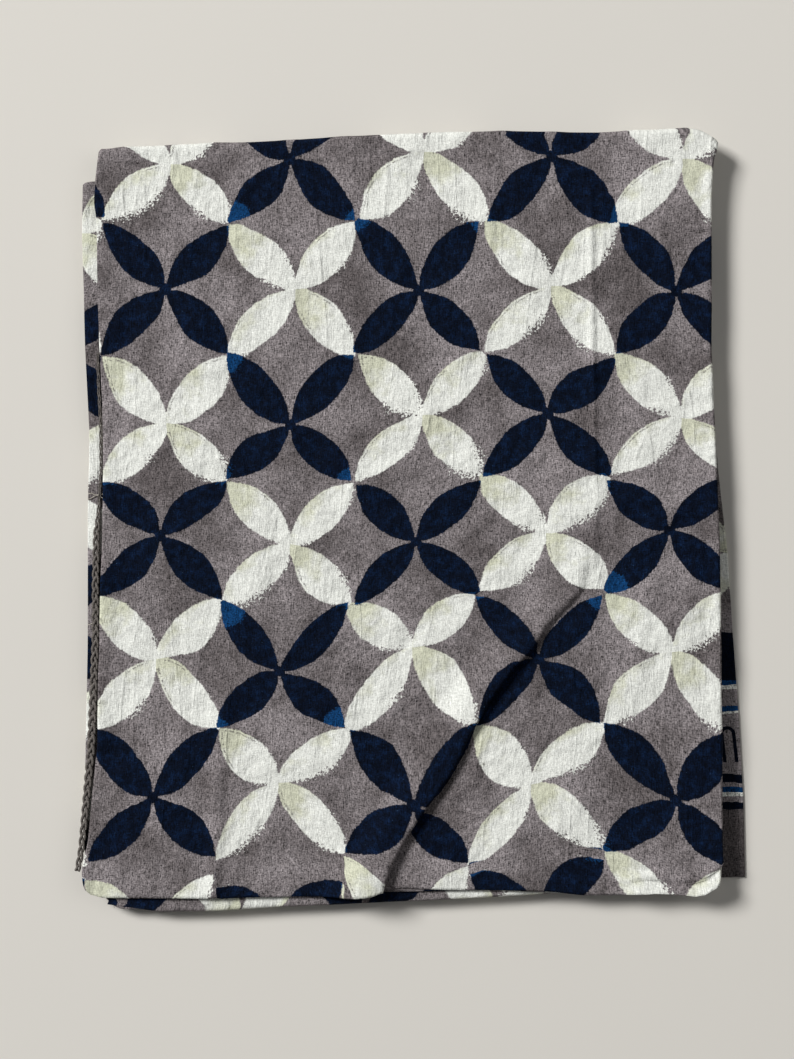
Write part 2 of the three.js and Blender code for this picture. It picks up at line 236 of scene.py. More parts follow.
STRIP_NEAR = Edge(
    along=(-138, -135.5, -133.4, -129.8, -110, -96.1, -54.2, -33, -3.8, 10, 41.2, 79.4, 131.2),
    at=(-170.4, -173, -175, -176.6, -176.2, -176.4, -173.7, -173, -171.5, -171, -169.4, -167, -161),
)
STRIP_FAR = Edge(along=(-147.5, -60, 60, 134), at=(153.6, 158, 163, 166))
STRIP_RIGHT = Edge(
    along=(170, 60, 20, 5.9, -8.6, -26.6, -49.1, -80.5, -98.5, -125.5, -139.1, -156.2, -160.5),
    at=(133, 135, 138.5, 140.2, 142, 143.3, 144.7, 146.9, 148.3, 149.6, 150.5, 151.4, 150.4),
)
INNER_LEFT = Edge(
    along=(170, 60, -60, -120, -150, -163, -169, -174.2), at=(-137, -136, -136.8, -139.5, -142.5, -142.5, -138, -133.4)
)
INNER_RIGHT = Edge(along=(170, 60, -60, -165), at=(132, 134.5, 138, 139))
FIRST_FAR = Edge(along=(-138, 134), at=(161, 170))
SECOND_NEAR = Edge(along=(-140, 60, 152), at=(-166.5, -164, -156.8))
END_NEAR = Edge(along=(-140, 80, 140, 154), at=(-165.5, -163.5, -162.4, -161.8))


def shares(count: int, close: float = 0.0) -> tuple[float, ...]:
    """Give the shares of a section's length where its rows lie.

    Args:
        count: How many equal steps lie in the middle.
        close: Share at each end that gets closer rows, or 0 for none.

    Returns:
        Rising shares from 0 to 1.
    """
    middle = np.linspace(close, 1 - close, count + 1).tolist()
    near = [close * k / OPEN_END_ROWS for k in range(OPEN_END_ROWS)] if close else []
    far = [1 - close * k for k in FOLD_END_ROWS] if close else []
    return tuple([*near, *middle, *far[::-1]])


SECTIONS = (
    Section(INNER_LEFT, STRIP_RIGHT, END_NEAR, FIRST_FAR, shares(9), Edge((-160.6, 170), (2.6, 346)),
            Edge((-160, 170), (26, 26)), left_in=1.5, right_in=-2.9),
    Section(INNER_LEFT, INNER_RIGHT, SECOND_NEAR, FIRST_FAR, shares(9), Edge((-157, 170), (716, 350)),
            Edge((-160, 170), (26, 26)), left_in=0.5),
    Section(INNER_LEFT, INNER_RIGHT, SECOND_NEAR, STRIP_FAR, shares(7), Edge((-157, 155), (720, 1095)),
            Edge((-160, 170), (26, 23)), left_in=2.0),
    Section(STRIP_LEFT, INNER_RIGHT, STRIP_NEAR, STRIP_FAR, shares(26),
            Edge((-173, -80, 11.7, 73.4, 155), (1417.4, 1333.8, 1242, 1186.8, 1099.4)),
            Edge((-168, -85, -38.7, 11, 74, 126.5, 170), (6.5, 7.5, 9.2, 14, 12.5, 22.5, 24)), right_in=1.5),
    Section(INNER_LEFT, INNER_RIGHT, STRIP_NEAR, TOP_FAR, shares(12), Edge((-173, 172), (1419.4, 1744)),
            Edge((-174, 174), (6.5, 6.35)), right_in=0.4),
    Section(TOP_LEFT, TOP_RIGHT, TOP_NEAR, TOP_FAR, shares(96, 0.035),
            Edge((178, 163.8, 106.2, 45.9, -5.9, -61.2, -122.4, -180),
                 (1741.7, 1755.9, 1813.05, 1870.2, 1927.35, 1984.5, 2041.65, 2099.2)),
            Edge((170, 106, 46, -6, -61, -122, -170), (6.35, 6.35, 4.8, 3.2, 1.6, 1.1, 1.1))),
)
TOP = len(SECTIONS) - 1


@dataclass(frozen=True)
class BlockRow:
    """One row of hand-stamped motifs on the top section: how far each stands from the even repeat, in mm."""

    y: float
    across: tuple[float, ...]
    along: tuple[float, ...]


BLOCK_X = (-107, -53, 7, 64, 121)  # mm, where the motifs' columns stand
BLOCK_ROWS = (
    BlockRow(164, across=(0.5, 1.8, 0.9, 0.9, -4.5), along=(-1.4, 0.0, 1.8, -0.9, -1.4)),
    BlockRow(106, across=(1.8, -0.5, 0.9, -0.5, 1.4), along=(1.4, 1.8, -5.4, -2.7, -4.1)),
    BlockRow(46, across=(1.4, 0.9, -0.5, 1.4, -3.2), along=(-0.5, -1.8, -0.5, 0.9, -1.4)),
    BlockRow(-6, across=(0.2, -1.0, 2.0, -1.0, -1.5), along=(-0.4, -2.7, -3.0, -3.0, 4.2)),
    BlockRow(-61, across=(0.9, 0.2, -2.7, -0.9, -1.7), along=(-0.4, -9.6, 6.2, -1.6, 4.2)),
    BlockRow(-122, across=(2.4, 3.4, -1.4, -2.2, -4.6), along=(-2.7, 5.0, -8.0, 5.2, -3.7)),
)


def stamped(x: np.ndarray, y: np.ndarray) -> np.ndarray:
    """Give the print's shift between the stamped motifs.

    Args:
        x: Places across the top section, in mm.
        y: Places along it, in mm.

    Returns:
        Shift across and along the cloth for each place, in mm.
    """
    order = [row.y for row in BLOCK_ROWS[::-1]]
    level = np.interp(y, order, np.arange(len(order)))
    low = np.minimum(level.astype(int), len(order) - 2)
    rest = level - low
    shifts = []
    for name in ("across", "along"):
        lines = np.array([np.interp(x, BLOCK_X, getattr(row, name)) for row in BLOCK_ROWS[::-1]])
        places = np.arange(len(x))
        shifts.append(lines[low, places] * (1 - rest) + lines[low + 1, places] * rest)
    return np.stack(shifts, axis=1)


@dataclass(frozen=True)
class Crease:
    """A soft ridge (or trough, where high is negative) pressed into the top layer, in millimetres."""

    start: tuple[float, float]
    end: tuple[float, float]
    high: float
    wide: float

    def height(self, x: np.ndarray, y: np.ndarray) -> np.ndarray:
        """Give the crease's height at each point."""
        dx, dy = self.end[0] - self.start[0], self.end[1] - self.start[1]
        share = np.clip(((x - self.start[0]) * dx + (y - self.start[1]) * dy) / (dx * dx + dy * dy), 0, 1)
        away = np.hypot(x - self.start[0] - share * dx, y - self.start[1] - share * dy)
        return self.high * np.exp(-((away / self.wide) ** 2)) * smooth(0, 0.12, share + 0.03)


# Broad rises that all four layers of the top section share
RISES = (
    Crease((83, 165), (82, -25), 0.5, 6),
    Crease((-88, -172), (-84, -100), 0.7, 6),
    Crease((112, 140), (119, 100), 0.6, 6),
    Crease((-120, 60), (-60, -40), 0.5, 14),
    Crease((-30, 60), (40, 20), 0.6, 12),
    Crease((100, 30), (128, -60), 0.6, 10),
    Crease((90, -90), (60, -150), 0.6, 12),
)
# Finer creases of the uppermost layer alone
CREASES = (
    Crease((81.5, 166), (83.5, 20), 0.55, 1.6),
    Crease((84.5, 20), (82, -40), 0.45, 2.2),
    Crease((-88, -170), (-86.5, -128), 1.1, 2.0),
    Crease((-87, -130), (-83, -85), 0.7, 2.4),
    Crease((112.7, 138.6), (118, 104), 0.5, 2.0),
    Crease((5, 103), (17, 102), 0.45, 1.8),
    Crease((-60, 110), (-40, 70), 0.35, 3.5),
    Crease((-112, 20), (-92, -30), 0.4, 4.0),
    Crease((-20, -20), (10, -60), 0.45, 5.0),
    Crease((20, 140), (60, 120), 0.35, 3.5),
    Crease((110, -20), (100, -75), 0.4, 4.0),
    Crease((-10, 45), (30, 52), 0.35, 2.6),
    Crease((50, -120), (95, -130), 0.35, 4.0),
    Crease((-130, -110), (-100, -150), 0.4, 4.0),
    Crease((-50, -100), (-30, -150), 0.4, 5.0),
)


@dataclass(frozen=True)
class Pleat:
    """The diagonal pleat: where its crest runs, how far it turns over and how much it covers.

    The columns are read by y. Lengths are in millimetres, and turn is the share of a half turn. Steps are the faces
    across its six parts: the rise, the level part, the turn, the part that lies back, the turn down and the settling.
    """

    y: tuple[float, ...] = (170, 31.9, -29.2, -46.8, -57.1, -65.2, -78.8, -89.1, -96.3, -109.8, -120.2, -134.6, -144,
                            -156.2, -163.8, -170)
    x: tuple[float, ...] = (82.6, 82.6, 79, 62.3, 56, 47.5, 37.1, 31.3, 26.8, 20.9, 13.7, 3.4, -2.9, -9.2, -11.5, -13)
    turn: tuple[float, ...] = (0, 0.03, 0.16, 0.3, 0.42, 0.56, 0.74, 0.88, 0.93, 0.94, 0.93, 0.92, 0.92, 0.91, 0.9, 0.9)
    cover: tuple[float, ...] = (0.8, 0.8, 0.8, 0.8, 0.8, 0.8, 0.8, 0.8, 1, 2.2, 3.2, 4.6, 5.6, 6.8, 7.4, 7.8)
    hides: tuple[float, ...] = (0, 0, 0, 0, 0.2, 0.4, 0.8, 1.4, 2.4, 4.6, 5.4, 5.2, 4.8, 4.2, 3.8, 3.6)
    radius: float = 0.95
    rise: float = 20.0
    level: float = 2.2
    settle: float = 6.0
    steps: tuple[int, ...] = (8, 3, 6, 3, 6, 4)

    def read(self, column: tuple[float, ...], y: float) -> float:
        """Read one of the pleat's columns at a place along the cloth."""
        return float(np.interp(y, self.y[::-1], column[::-1]))

    def profile(self, y: float) -> np.ndarray:
        """Give the pleat's cross-section.

        Args:
            y: Place along the cloth, in mm.

        Returns:
            Rows of x from the crest and z, in mm, in order across the pleat.
        """
        full = math.pi * self.read(self.turn, y)
        cover = self.read(self.cover, y)
        arc = math.pi * self.radius
        lengths = (self.rise, self.level + cover, arc, cover, arc, self.settle)
        runs, slopes, climbs = [], [], []
        for part, (length, count) in enumerate(zip(lengths, self.steps)):
            share = (np.arange(count) + 0.5) / count
            runs += [length / count] * count
            slopes += {2: -full * share, 3: share * 0 - full, 4: -full * (1 - share)}.get(part, share * 0).tolist()
            climbs += (np.sin(math.pi * share) if part == 0 else share * 0).tolist()
        run, slope, climb = np.array(runs), np.array(slopes), np.array(climbs)
        drop = -np.sum(run * np.sin(slope))
        slope = slope + np.arcsin(drop / np.sum(run * climb) * climb)
        x = np.concatenate([[0], np.cumsum(run * np.cos(slope))])
        z = np.concatenate([[0], np.cumsum(run * np.sin(slope))])
        crest = x[: sum(self.steps[:3]) + 1].max()
        return np.stack([x - crest, z], axis=1)


class Ply(Enum):
    """The four thin layers of a section, by their place in the double fold across the cloth's width."""

    OUTER_UNDER = 0
    OUTER_TOP = 1
    INNER_TOP = 2
    INNER_UNDER = 3


@dataclass
class FoldedCotton:
    """The whole cloth: folded in four across its width, then back and forth in six sections.

    Lengths are in millimetres. The lip and the far swell are each a height and how far it spreads.
    """

    pleat: Pleat = field(default_factory=Pleat)
    thick: float = 1.6
    pitch: float = 2.0
    left_columns: int = 56
    right_columns: int = 34
    turn_rows: int = 5
    edge_roll: float = 0.75
    roll_wide: float = 2.2
    pressing: float = 1.7
    loft: float = 0.15
    corner: tuple[float, float] = (126, 166)
    corner_high: float = 0.8
    corner_wide: float = 20.0
    hem_lip: tuple[float, float] = (1.9, 2.6)
    hem_flap: float = 0.5
    hem_start: tuple[float, float] = (92, 104)
    broad_high: float = 0.8
    broad_size: float = 34.0
    fine_high: float = 0.65
    fine_size: tuple[float, float] = (12, 16)
    far_swell: tuple[float, float] = (0.6, 5.0)
    strip_swell: float = 0.35
    turn_steps: int = 6
    coarse: tuple[int, int, int] = (6, 3, 4)  # columns of the hidden layers: left part, every so many, right part

    def columns(self) -> int:
        """Give the number of columns across the middle surface."""
        return self.left_columns + sum(self.pleat.steps) + self.right_columns + 1

    def relief(self, x: np.ndarray, y: np.ndarray) -> np.ndarray:
        """Height that the broad rises, and the far right corner, give the whole top section."""
        away = (x - self.corner[0]) ** 2 + (y - self.corner[1]) ** 2
        return sum(rise.height(x, y) for rise in RISES) + self.corner_high * np.exp(-away / self.corner_wide**2)

    def curl(self, x: np.ndarray, y: np.ndarray) -> np.ndarray:
        """Height of the curled hem at the near right corner: a lip along its crease and a flap that rises outward."""
        crease = HEM_CREASE.read(x)
        high, wide = self.hem_lip
        lip = high * np.exp(-(((y - crease - 0.3) / wide) ** 2)) * (y > crease)
        flap = self.hem_flap * np.maximum(crease - 0.6 - y, 0)
        return smooth(*self.hem_start, x) * (lip + flap)

    def middle_row(self, index: int, share: float) -> np.ndarray:
        """Give one row of the middle surface of a section.

        Args:
            index: The section, from the bottom.
            share: How far the row is from the section's near end to its far end.

        Returns:
            Points across the row, in mm.
        """
        section = SECTIONS[index]
        reach = self.pitch / 2 + self.thick / 2 - 0.1
        near_in = reach if 0 < index < TOP else 0

        def y_at(x: np.ndarray | float) -> np.ndarray:
            """Place along the cloth of this row at x."""
            return (section.near.read(x) + near_in) * (1 - share) + (section.far.read(x) - reach) * share

        left = float(section.left.read(y_at(-145))) + section.left_in + 0.6
        right = float(section.right.read(y_at(140))) - section.right_in - 0.7
        level = self.thick / 2 + index * self.pitch
        plain = np.linspace(left, right, self.columns())
        if index < TOP:
            return np.stack([plain, y_at(plain), np.full(plain.shape, level)], axis=1)
        y_crest = float(y_at(0))
        for _ in range(3):
            y_crest = float(y_at(self.pleat.read(self.pleat.x, y_crest)))
        crest = self.pleat.read(self.pleat.x, y_crest)
        fold = self.pleat.profile(y_crest)
        x = np.concatenate([
            np.linspace(left, crest + fold[0, 0], self.left_columns + 1)[:-1],
            crest + fold[:, 0],
            np.linspace(crest + fold[-1, 0], right, self.right_columns + 1)[1:],
        ])
        z = np.concatenate([np.zeros(self.left_columns), fold[:, 1], np.zeros(self.right_columns)])
        even = float(smooth(152, 172, y_crest))
        x = x * (1 - even) + plain * even
        return np.stack([x, y_at(x), level + z + self.relief(x, y_at(x))], axis=1)

    def print_place(self, index: int, points: np.ndarray) -> np.ndarray:
        """Give the cloth's own width and length coordinates under each point of a row.

        Args:
            index: The section the row is in.
            points: The row's points, in mm.

        Returns:
            Width coordinate from the print's centre line, and length from the bordered end, in mm.
        """
        section = SECTIONS[index]
        x, y = points[:, 0], points[:, 1]
        across = x - section.print_axis.read(y)
        if index == TOP:
            start = self.left_columns + sum(self.pleat.steps[:3])
            hidden = np.clip((np.arange(len(x)) - start) / sum(self.pleat.steps[3:5]), 0, 1)
            fade = smooth(118, 60, x)
            across = across + hidden * fade * np.interp(y, self.pleat.y[::-1], self.pleat.hides[::-1])
            bow = 1.2 * np.sin(x / 55 + 0.6) + 0.8 * np.sin(x / 23 + y / 60)
            return np.stack([across, section.print_row.read(y) + bow], axis=1) + stamped(x, y)
        return np.stack([across, section.print_row.read(y)], axis=1)

    def middle(self) -> tuple[np.ndarray, np.ndarray, np.ndarray]:
        """Build the middle surface of the stack.

        Returns:
            Points and print places as rows by columns, and each row's section number, whole inside a section and
            halfway between two in an end fold.
        """
        rows, prints, owners = [], [], []
        for index, section in enumerate(SECTIONS):
            cuts = section.rows if index % 2 == 0 else section.rows[::-1]
            for share in cuts:
                rows.append(self.middle_row(index, share))
                prints.append(self.print_place(index, rows[-1]))
                owners.append(float(index))
            if index == TOP:
                break
            start, end = rows[-1], self.middle_row(index + 1, cuts[-1])
            print_start, print_end = prints[-1], self.print_place(index + 1, end)
            for step in range(1, self.turn_rows + 1):
                angle = math.pi * step / (self.turn_rows + 1)
                share = (1 - math.cos(angle)) / 2
                reach = (1 if index % 2 == 0 else -1) * math.sin(angle) / 2
                row = start * (1 - share) + end * share
                row[:, 1] += reach * (end[:, 2] - start[:, 2])
                rows.append(row)
                prints.append(print_start * (1 - angle / math.pi) + print_end * angle / math.pi)
                owners.append(index + angle / math.pi)
        return np.array(rows), np.array(prints), np.array(owners)

    def top_lift(self, points: np.ndarray, owners: np.ndarray) -> np.ndarray:
        """Height that the uppermost layer alone stands above its usual place.

        Args:
            points: The middle surface, rows by columns.
            owners: Each row's section number.

        Returns:
            Lift in mm for each point.
        """
        x, y = points[..., 0], points[..., 1]
        lift = np.full(x.shape, self.loft)
        lift += self.pressing * sum(crease.height(x, y) for crease in CREASES)
        size, (wide, long) = self.broad_size, self.fine_size
        broad = np.vectorize(lambda a, b: noise.noise(Vector((a / size, b / size, 2.5))))(x, y)
        fine = np.vectorize(lambda a, b: noise.noise(Vector((a / wide, b / long, 8.1))))(x, y)
        lift += self.broad_high * np.maximum(broad + 0.2, 0) + self.fine_high * np.maximum(fine, 0) + self.curl(x, y)
        for side in (x[:, :1], x[:, -1:]):
            lift += self.edge_roll * np.exp(-((x - side) / self.roll_wide) ** 2)
        fold = np.zeros(x.shape[1])
        fold[self.left_columns + sum(self.pleat.steps[:2]) : -self.right_columns - 3] = 1
        turned = np.interp(y, self.pleat.y[::-1], self.pleat.turn[::-1])
        lift *= 1 - fold[None, :] * turned
        far = SECTIONS[TOP].far.read(x)
        high, wide = self.far_swell
        lift += high * np.exp(-((far - y) / wide) ** 2)
        return lift * smooth(TOP - 1, TOP, owners)[:, None]

    def ply_surface(self) -> tuple[np.ndarray, np.ndarray]:
        """Lay the four thin layers along the middle surface as one sheet.

        Returns:
            Points and print places of the whole sheet, rows by columns.
        """
        points, prints, owners = self.middle()
        along = np.gradient(points, axis=0)
        across = np.gradient(points, axis=1)
        normal = -np.cross(across, along)
        normal /= np.linalg.norm(normal, axis=2, keepdims=True)
        outward = across / np.linalg.norm(across, axis=2, keepdims=True)
        lift = self.top_lift(points, owners)
        strip = np.exp(-((owners - 3) / 0.3) ** 2)[:, None] * np.exp(-((points[..., 0] - points[:, :1, 0]) / 2.5) ** 2)
        lift = lift + self.strip_swell * strip
        height = {
            Ply.OUTER_UNDER: np.full(lift.shape, -1.5 * PLY_RISE),
            Ply.OUTER_TOP: 1.5 * PLY_RISE + lift,
            Ply.INNER_TOP: np.full(lift.shape, 0.5 * PLY_RISE),
            Ply.INNER_UNDER: np.full(lift.shape, -0.5 * PLY_RISE),
        }
        bump = np.exp(-((owners - 3.5) / 0.4) ** 2)[:, None]
        height[Ply.OUTER_UNDER] = height[Ply.OUTER_UNDER] - self.strip_swell * bump
        count = self.columns()
        pleat_end = self.left_columns + sum(self.pleat.steps)
        rise_end = self.left_columns + self.pleat.steps[0]
        coarse = np.unique(np.concatenate([
            np.linspace(0, self.left_columns, self.coarse[0]).round(),
            np.arange(self.left_columns, rise_end, self.coarse[1]),
            np.arange(rise_end, pleat_end),
            np.linspace(pleat_end, count - 1, self.coarse[2]).round(),
        ]).astype(int))
        every = np.arange(count)
        left_print, right_print = prints[:, :1, 0], prints[:, -1:, 0]

        def run(ply: Ply, columns: np.ndarray) -> tuple[np.ndarray, np.ndarray]:
            """One layer over some of the columns, with its print."""
            place = points[:, columns] + normal[:, columns] * height[ply][:, columns, None]
            printed = prints[:, columns].copy()
            if ply is Ply.OUTER_UNDER:
                printed[..., 0] = 2 * right_print - printed[..., 0]
            if ply is Ply.INNER_TOP:
                printed[..., 0] = 2 * left_print - printed[..., 0]
            if ply is Ply.INNER_UNDER:
                printed[..., 0] = 2 * left_print - 2 * right_print + printed[..., 0]
            return place, printed

        def turn(first: Ply, second: Ply, column: int, print_step: float) -> tuple[np.ndarray, np.ndarray]:
            """The fold that joins two layers at a side."""
            one, two = height[first][:, column], height[second][:, column]
            centre, radius = (one + two) / 2, (one - two) / 2
            side = 1 if column else -1
            places, printed = [], []
            start = run(first, np.array([column]))[1][:, 0]
            for angle in np.linspace(0, math.pi, self.turn_steps)[1:-1]:
                high = centre + radius * math.cos(angle)
                out = np.abs(radius) * math.sin(angle) * side
                places.append(points[:, column] + normal[:, column] * high[:, None] + outward[:, column] * out[:, None])
                printed.append(start + np.array([print_step * math.sin(angle / 2), 0]))
            return np.stack(places, axis=1), np.stack(printed, axis=1)

        # The two layers that end at the left side are one column shorter there
        inset = np.concatenate([[1], coarse[coarse > 0]])
        blocks = [
            run(Ply.OUTER_UNDER, inset),
            turn(Ply.OUTER_UNDER, Ply.OUTER_TOP, count - 1, 1.0),
            run(Ply.OUTER_TOP, every[::-1]),
            turn(Ply.OUTER_TOP, Ply.INNER_TOP, 0, -1.0),
            run(Ply.INNER_TOP, coarse),
            turn(Ply.INNER_TOP, Ply.INNER_UNDER, count - 1, 1.0),
            run(Ply.INNER_UNDER, inset[::-1]),
        ]
        return (np.concatenate([b[0] for b in blocks], axis=1), np.concatenate([b[1] for b in blocks], axis=1))

    def build(self) -> bpy.types.Object:
        """Make the sheet, with its thickness and its print coordinates.

        Returns:
            The cloth's object.
        """
        places, prints = self.ply_surface()
        rows, columns = places.shape[:2]
        places = (places + np.array([X_SHIFT, 0, 0])) * MM
        numbers = np.arange(rows * columns).reshape(rows, columns)
        faces = np.stack([numbers[:-1, :-1], numbers[:-1, 1:], numbers[1:, 1:], numbers[1:, :-1]], axis=-1)
        mesh = bpy.data.meshes.new("printed_cotton")
        mesh.from_pydata(places.reshape(-1, 3).tolist(), [], faces.reshape(-1, 4).tolist())
        layer = mesh.uv_layers.new(name="Cloth")
        corner = np.array([loop.vertex_index for loop in mesh.loops])
        layer.data.foreach_set("uv", (prints.reshape(-1, 2)[corner] * MM).ravel())
        mesh.shade_smooth()
        cloth = bpy.data.objects.new("printed_cotton", mesh)
        bpy.context.scene.collection.objects.link(cloth)
        wall = cloth.modifiers.new("cloth thickness", "SOLIDIFY")
        wall.thickness = CLOTH_THICK * MM
        wall.offset = 0
        return cloth


@dataclass(frozen=True)
class PrintedCottonFinish:
    """Plain-weave slub cotton, block printed in navy and resisted white on a grey dyed ground.

    Matt and slightly hairy, with ragged petal edges, brighter blue where navy overlaps white, and dry-brush specks.
    Each scale is a noise's, per metre of cloth, and a pair of them goes across and along the yarn. Each bump is its
    strength and its height in metres.
    """

    ground: str = "#8b8485"
    ground_dark: str = "#5f5959"
    white: str = "#e3e4dd"
    white_thin: str = "#cbccb6"
    navy: str = "#040c1c"
    navy_worn: str = "#0a1d39"
    fleck: str = "#4f6f92"
    blue: str = "#0e3c69"
    petal_centre: tuple[float, float] = (0.5243, -0.0243)  # centre of each petal arc, in motif widths
    petal_radius: float = 0.5255
    stamp_shake: float = 0.06
    knots: tuple[float, float] = (0.085, 0.052)  # the petals run together at the motif's centre: white, navy
    seeds: tuple[float, float] = (3.0, 8.0)
    first_motif: float = 155.7  # mm from the bordered end
    field_edge: tuple[float, float] = (0.1265, 0.1275)  # m from the bordered end, where the petals begin
    last_row_start: float = 33.5  # in motif widths from the border
    last_row_slips: tuple[float, ...] = (4.8, 12.0, 0.0, 4.5, 0.0)  # mm that each stamp of it lies lower
    border_length: float = 128.0  # mm
    bands: tuple[tuple[float, str], ...] = (
        (0, "ground_dark"), (33, "navy"), (36, "ground"), (38.4, "white"), (40.1, "blue"), (42.6, "ground"),
        (44.8, "navy"), (48.6, "ground"), (78.6, "white"), (79.8, "blue"), (82.2, "ground"), (89.4, "white"),
        (91.5, "blue"), (93.2, "navy"), (116.5, "ground"),
    )  # where each band of the border starts, in mm
    loop_spacing: float = 0.06  # m from one loop of the border to the next
    loop_offset: float = -0.0091
    loop_foot: float = 1.85  # this and the next three are in half spacings
    loop_head: float = 2.3
    loop_radius: float = 0.09
    loop_line: float = 0.027
    wander: tuple[float, float] = (36.0, 0.004)  # scale and reach in metres
    scallop: tuple[float, float] = (250.0, 0.0009)
    speck_scale: float = 900.0
    dry_scale: float = 34.0
    smear_scale: float = 24.0
    patch_scale: float = 95.0
    worn_scale: float = 240.0
    grain_scale: float = 1500.0
    yarn_scale: tuple[float, float] = (2000, 420)
    crinkle_scale: tuple[float, float] = (420, 80)
    line_scale: tuple[float, float] = (62, 9)
    dent_scale: float = 75.0
    yarn_bump: tuple[float, float] = (0.6, 0.0003)
    crinkle_bump: tuple[float, float] = (0.4, 0.0011)
    line_bump: tuple[float, float] = (0.25, 0.0008)
    dent_bump: tuple[float, float] = (0.7, 0.0032)
    roughness: float = 0.92
    specular: float = 0.1

    def petals(self) -> bpy.types.NodeTree:
        """Build the group that gives how deep a place lies inside the petals of one colour.

        Returns:
            The node group. It gets the place in motif widths, and gives the depth, a chance for each stamp, and how
            far the place lies towards the lower right of its petal.
        """
        tree = new_group(
            "petal block", "ShaderNodeTree", {"Place": "Vector", "Seed": "Float", "Knot": "Float"},
            {"Depth": "Float", "Chance": "Float", "Flank": "Float"},
        )
        place, seed, knot_radius = add(tree, "NodeGroupInput").outputs[:3]
        first = add(tree, "ShaderNodeVectorMath", place, (0.5, 0.5, 0), operation="DOT_PRODUCT")
        second = add(tree, "ShaderNodeVectorMath", place, (0.5, -0.5, 0), operation="DOT_PRODUCT")
        slant = add(tree, "ShaderNodeCombineXYZ", first, second)
        half = add(tree, "ShaderNodeVectorMath", slant, (0.5, 0.5, 0), operation="ADD")
        whole = add(tree, "ShaderNodeVectorMath", half, operation="FLOOR")
        local = add(tree, "ShaderNodeVectorMath", slant, whole, operation="SUBTRACT")
        x = add(tree, "ShaderNodeVectorMath", local, (1, 1, 0), operation="DOT_PRODUCT")
        y = add(tree, "ShaderNodeVectorMath", local, (1, -1, 0), operation="DOT_PRODUCT")
        point = add(tree, "ShaderNodeCombineXYZ", x, y)
        luck = add(tree, "ShaderNodeTexWhiteNoise", whole, seed, noise_dimensions="4D")
        middle = add(tree, "ShaderNodeVectorMath", luck.outputs["Color"], (0.5, 0.5, 0.5), operation="SUBTRACT")
        shake = add(tree, "ShaderNodeVectorMath", middle, (self.stamp_shake, self.stamp_shake, 0), operation="MULTIPLY")
        moved = add(tree, "ShaderNodeVectorMath", point, shake, operation="ADD")
        folded = add(tree, "ShaderNodeVectorMath", moved, operation="ABSOLUTE")
        long_way, short_way = self.petal_centre
        one = add(tree, "ShaderNodeVectorMath", folded, (long_way, short_way, 0), operation="DISTANCE")
        two = add(tree, "ShaderNodeVectorMath", folded, (short_way, long_way, 0), operation="DISTANCE")
        worst = add(tree, "ShaderNodeMath", one, two, operation="MAXIMUM")
        lens = add(tree, "ShaderNodeMath", self.petal_radius, worst, operation="SUBTRACT")
        near = add(tree, "ShaderNodeVectorMath", moved, operation="LENGTH")
        knot = add(tree, "ShaderNodeMath", knot_radius, near.outputs["Value"], operation="SUBTRACT")
        depth = add(tree, "ShaderNodeMath", lens, knot, operation="MAXIMUM")
        quarter = add(tree, "ShaderNodeVectorMath", moved, operation="SIGN")
        quarter = add(tree, "ShaderNodeVectorMath", quarter, (0.25, 0.25, 0), operation="MULTIPLY")
        inside = add(tree, "ShaderNodeVectorMath", moved, quarter, operation="SUBTRACT")
        flank = add(tree, "ShaderNodeVectorMath", inside, (0.7, 0.7, 0), operation="DOT_PRODUCT")
        add(tree, "NodeGroupOutput", depth, luck.outputs["Value"], flank.outputs["Value"])
        return tree

    def material(self) -> bpy.types.Material:
        """Build the material on the cloth's own coordinates, in metres.

        Returns:
            The material.
        """
        material, tree = new_material("block-printed slub cotton")
        cloth = add(tree, "ShaderNodeUVMap", uv_map="Cloth")
        # Hand printing wanders by under a millimetre, and the carved block leaves small scallops on each edge
        bent = cloth
        for scale, reach in (self.wander, self.scallop):
            drift = add(tree, "ShaderNodeTexNoise", cloth, scale, 1.0, 0.5, noise_dimensions="2D")
            drift = add(tree, "ShaderNodeVectorMath", drift.outputs["Color"], (0.5, 0.5, 0.5), operation="SUBTRACT")
            drift = add(tree, "ShaderNodeVectorMath", drift, (reach, reach, 0), operation="MULTIPLY")
            bent = add(tree, "ShaderNodeVectorMath", bent, drift, operation="ADD")
        size = 1 / (MOTIF * MM)
        cells = add(tree, "ShaderNodeVectorMath", bent, (size, size, 0), operation="MULTIPLY")
        cells = add(tree, "ShaderNodeVectorMath", cells, (2.0, -self.first_motif / MOTIF, 0), operation="ADD")
        cells, stamped_part = self.last_row(tree, cells)
        shifted = add(tree, "ShaderNodeVectorMath", cells, (1, 0, 0), operation="ADD")
        block = self.petals()
        white = add(tree, "ShaderNodeGroup", cells, self.seeds[0], self.knots[0], node_tree=block)
        navy = add(tree, "ShaderNodeGroup", shifted, self.seeds[1], self.knots[1], node_tree=block)
        # Petals stop where the border begins
        length = add(tree, "ShaderNodeSeparateXYZ", bent)
        field_part = add(tree, "ShaderNodeMapRange", length.outputs[1], *self.field_edge, 0.0, 1.0)
        stamped_part = add(tree, "ShaderNodeMath", stamped_part, field_part, operation="MULTIPLY")
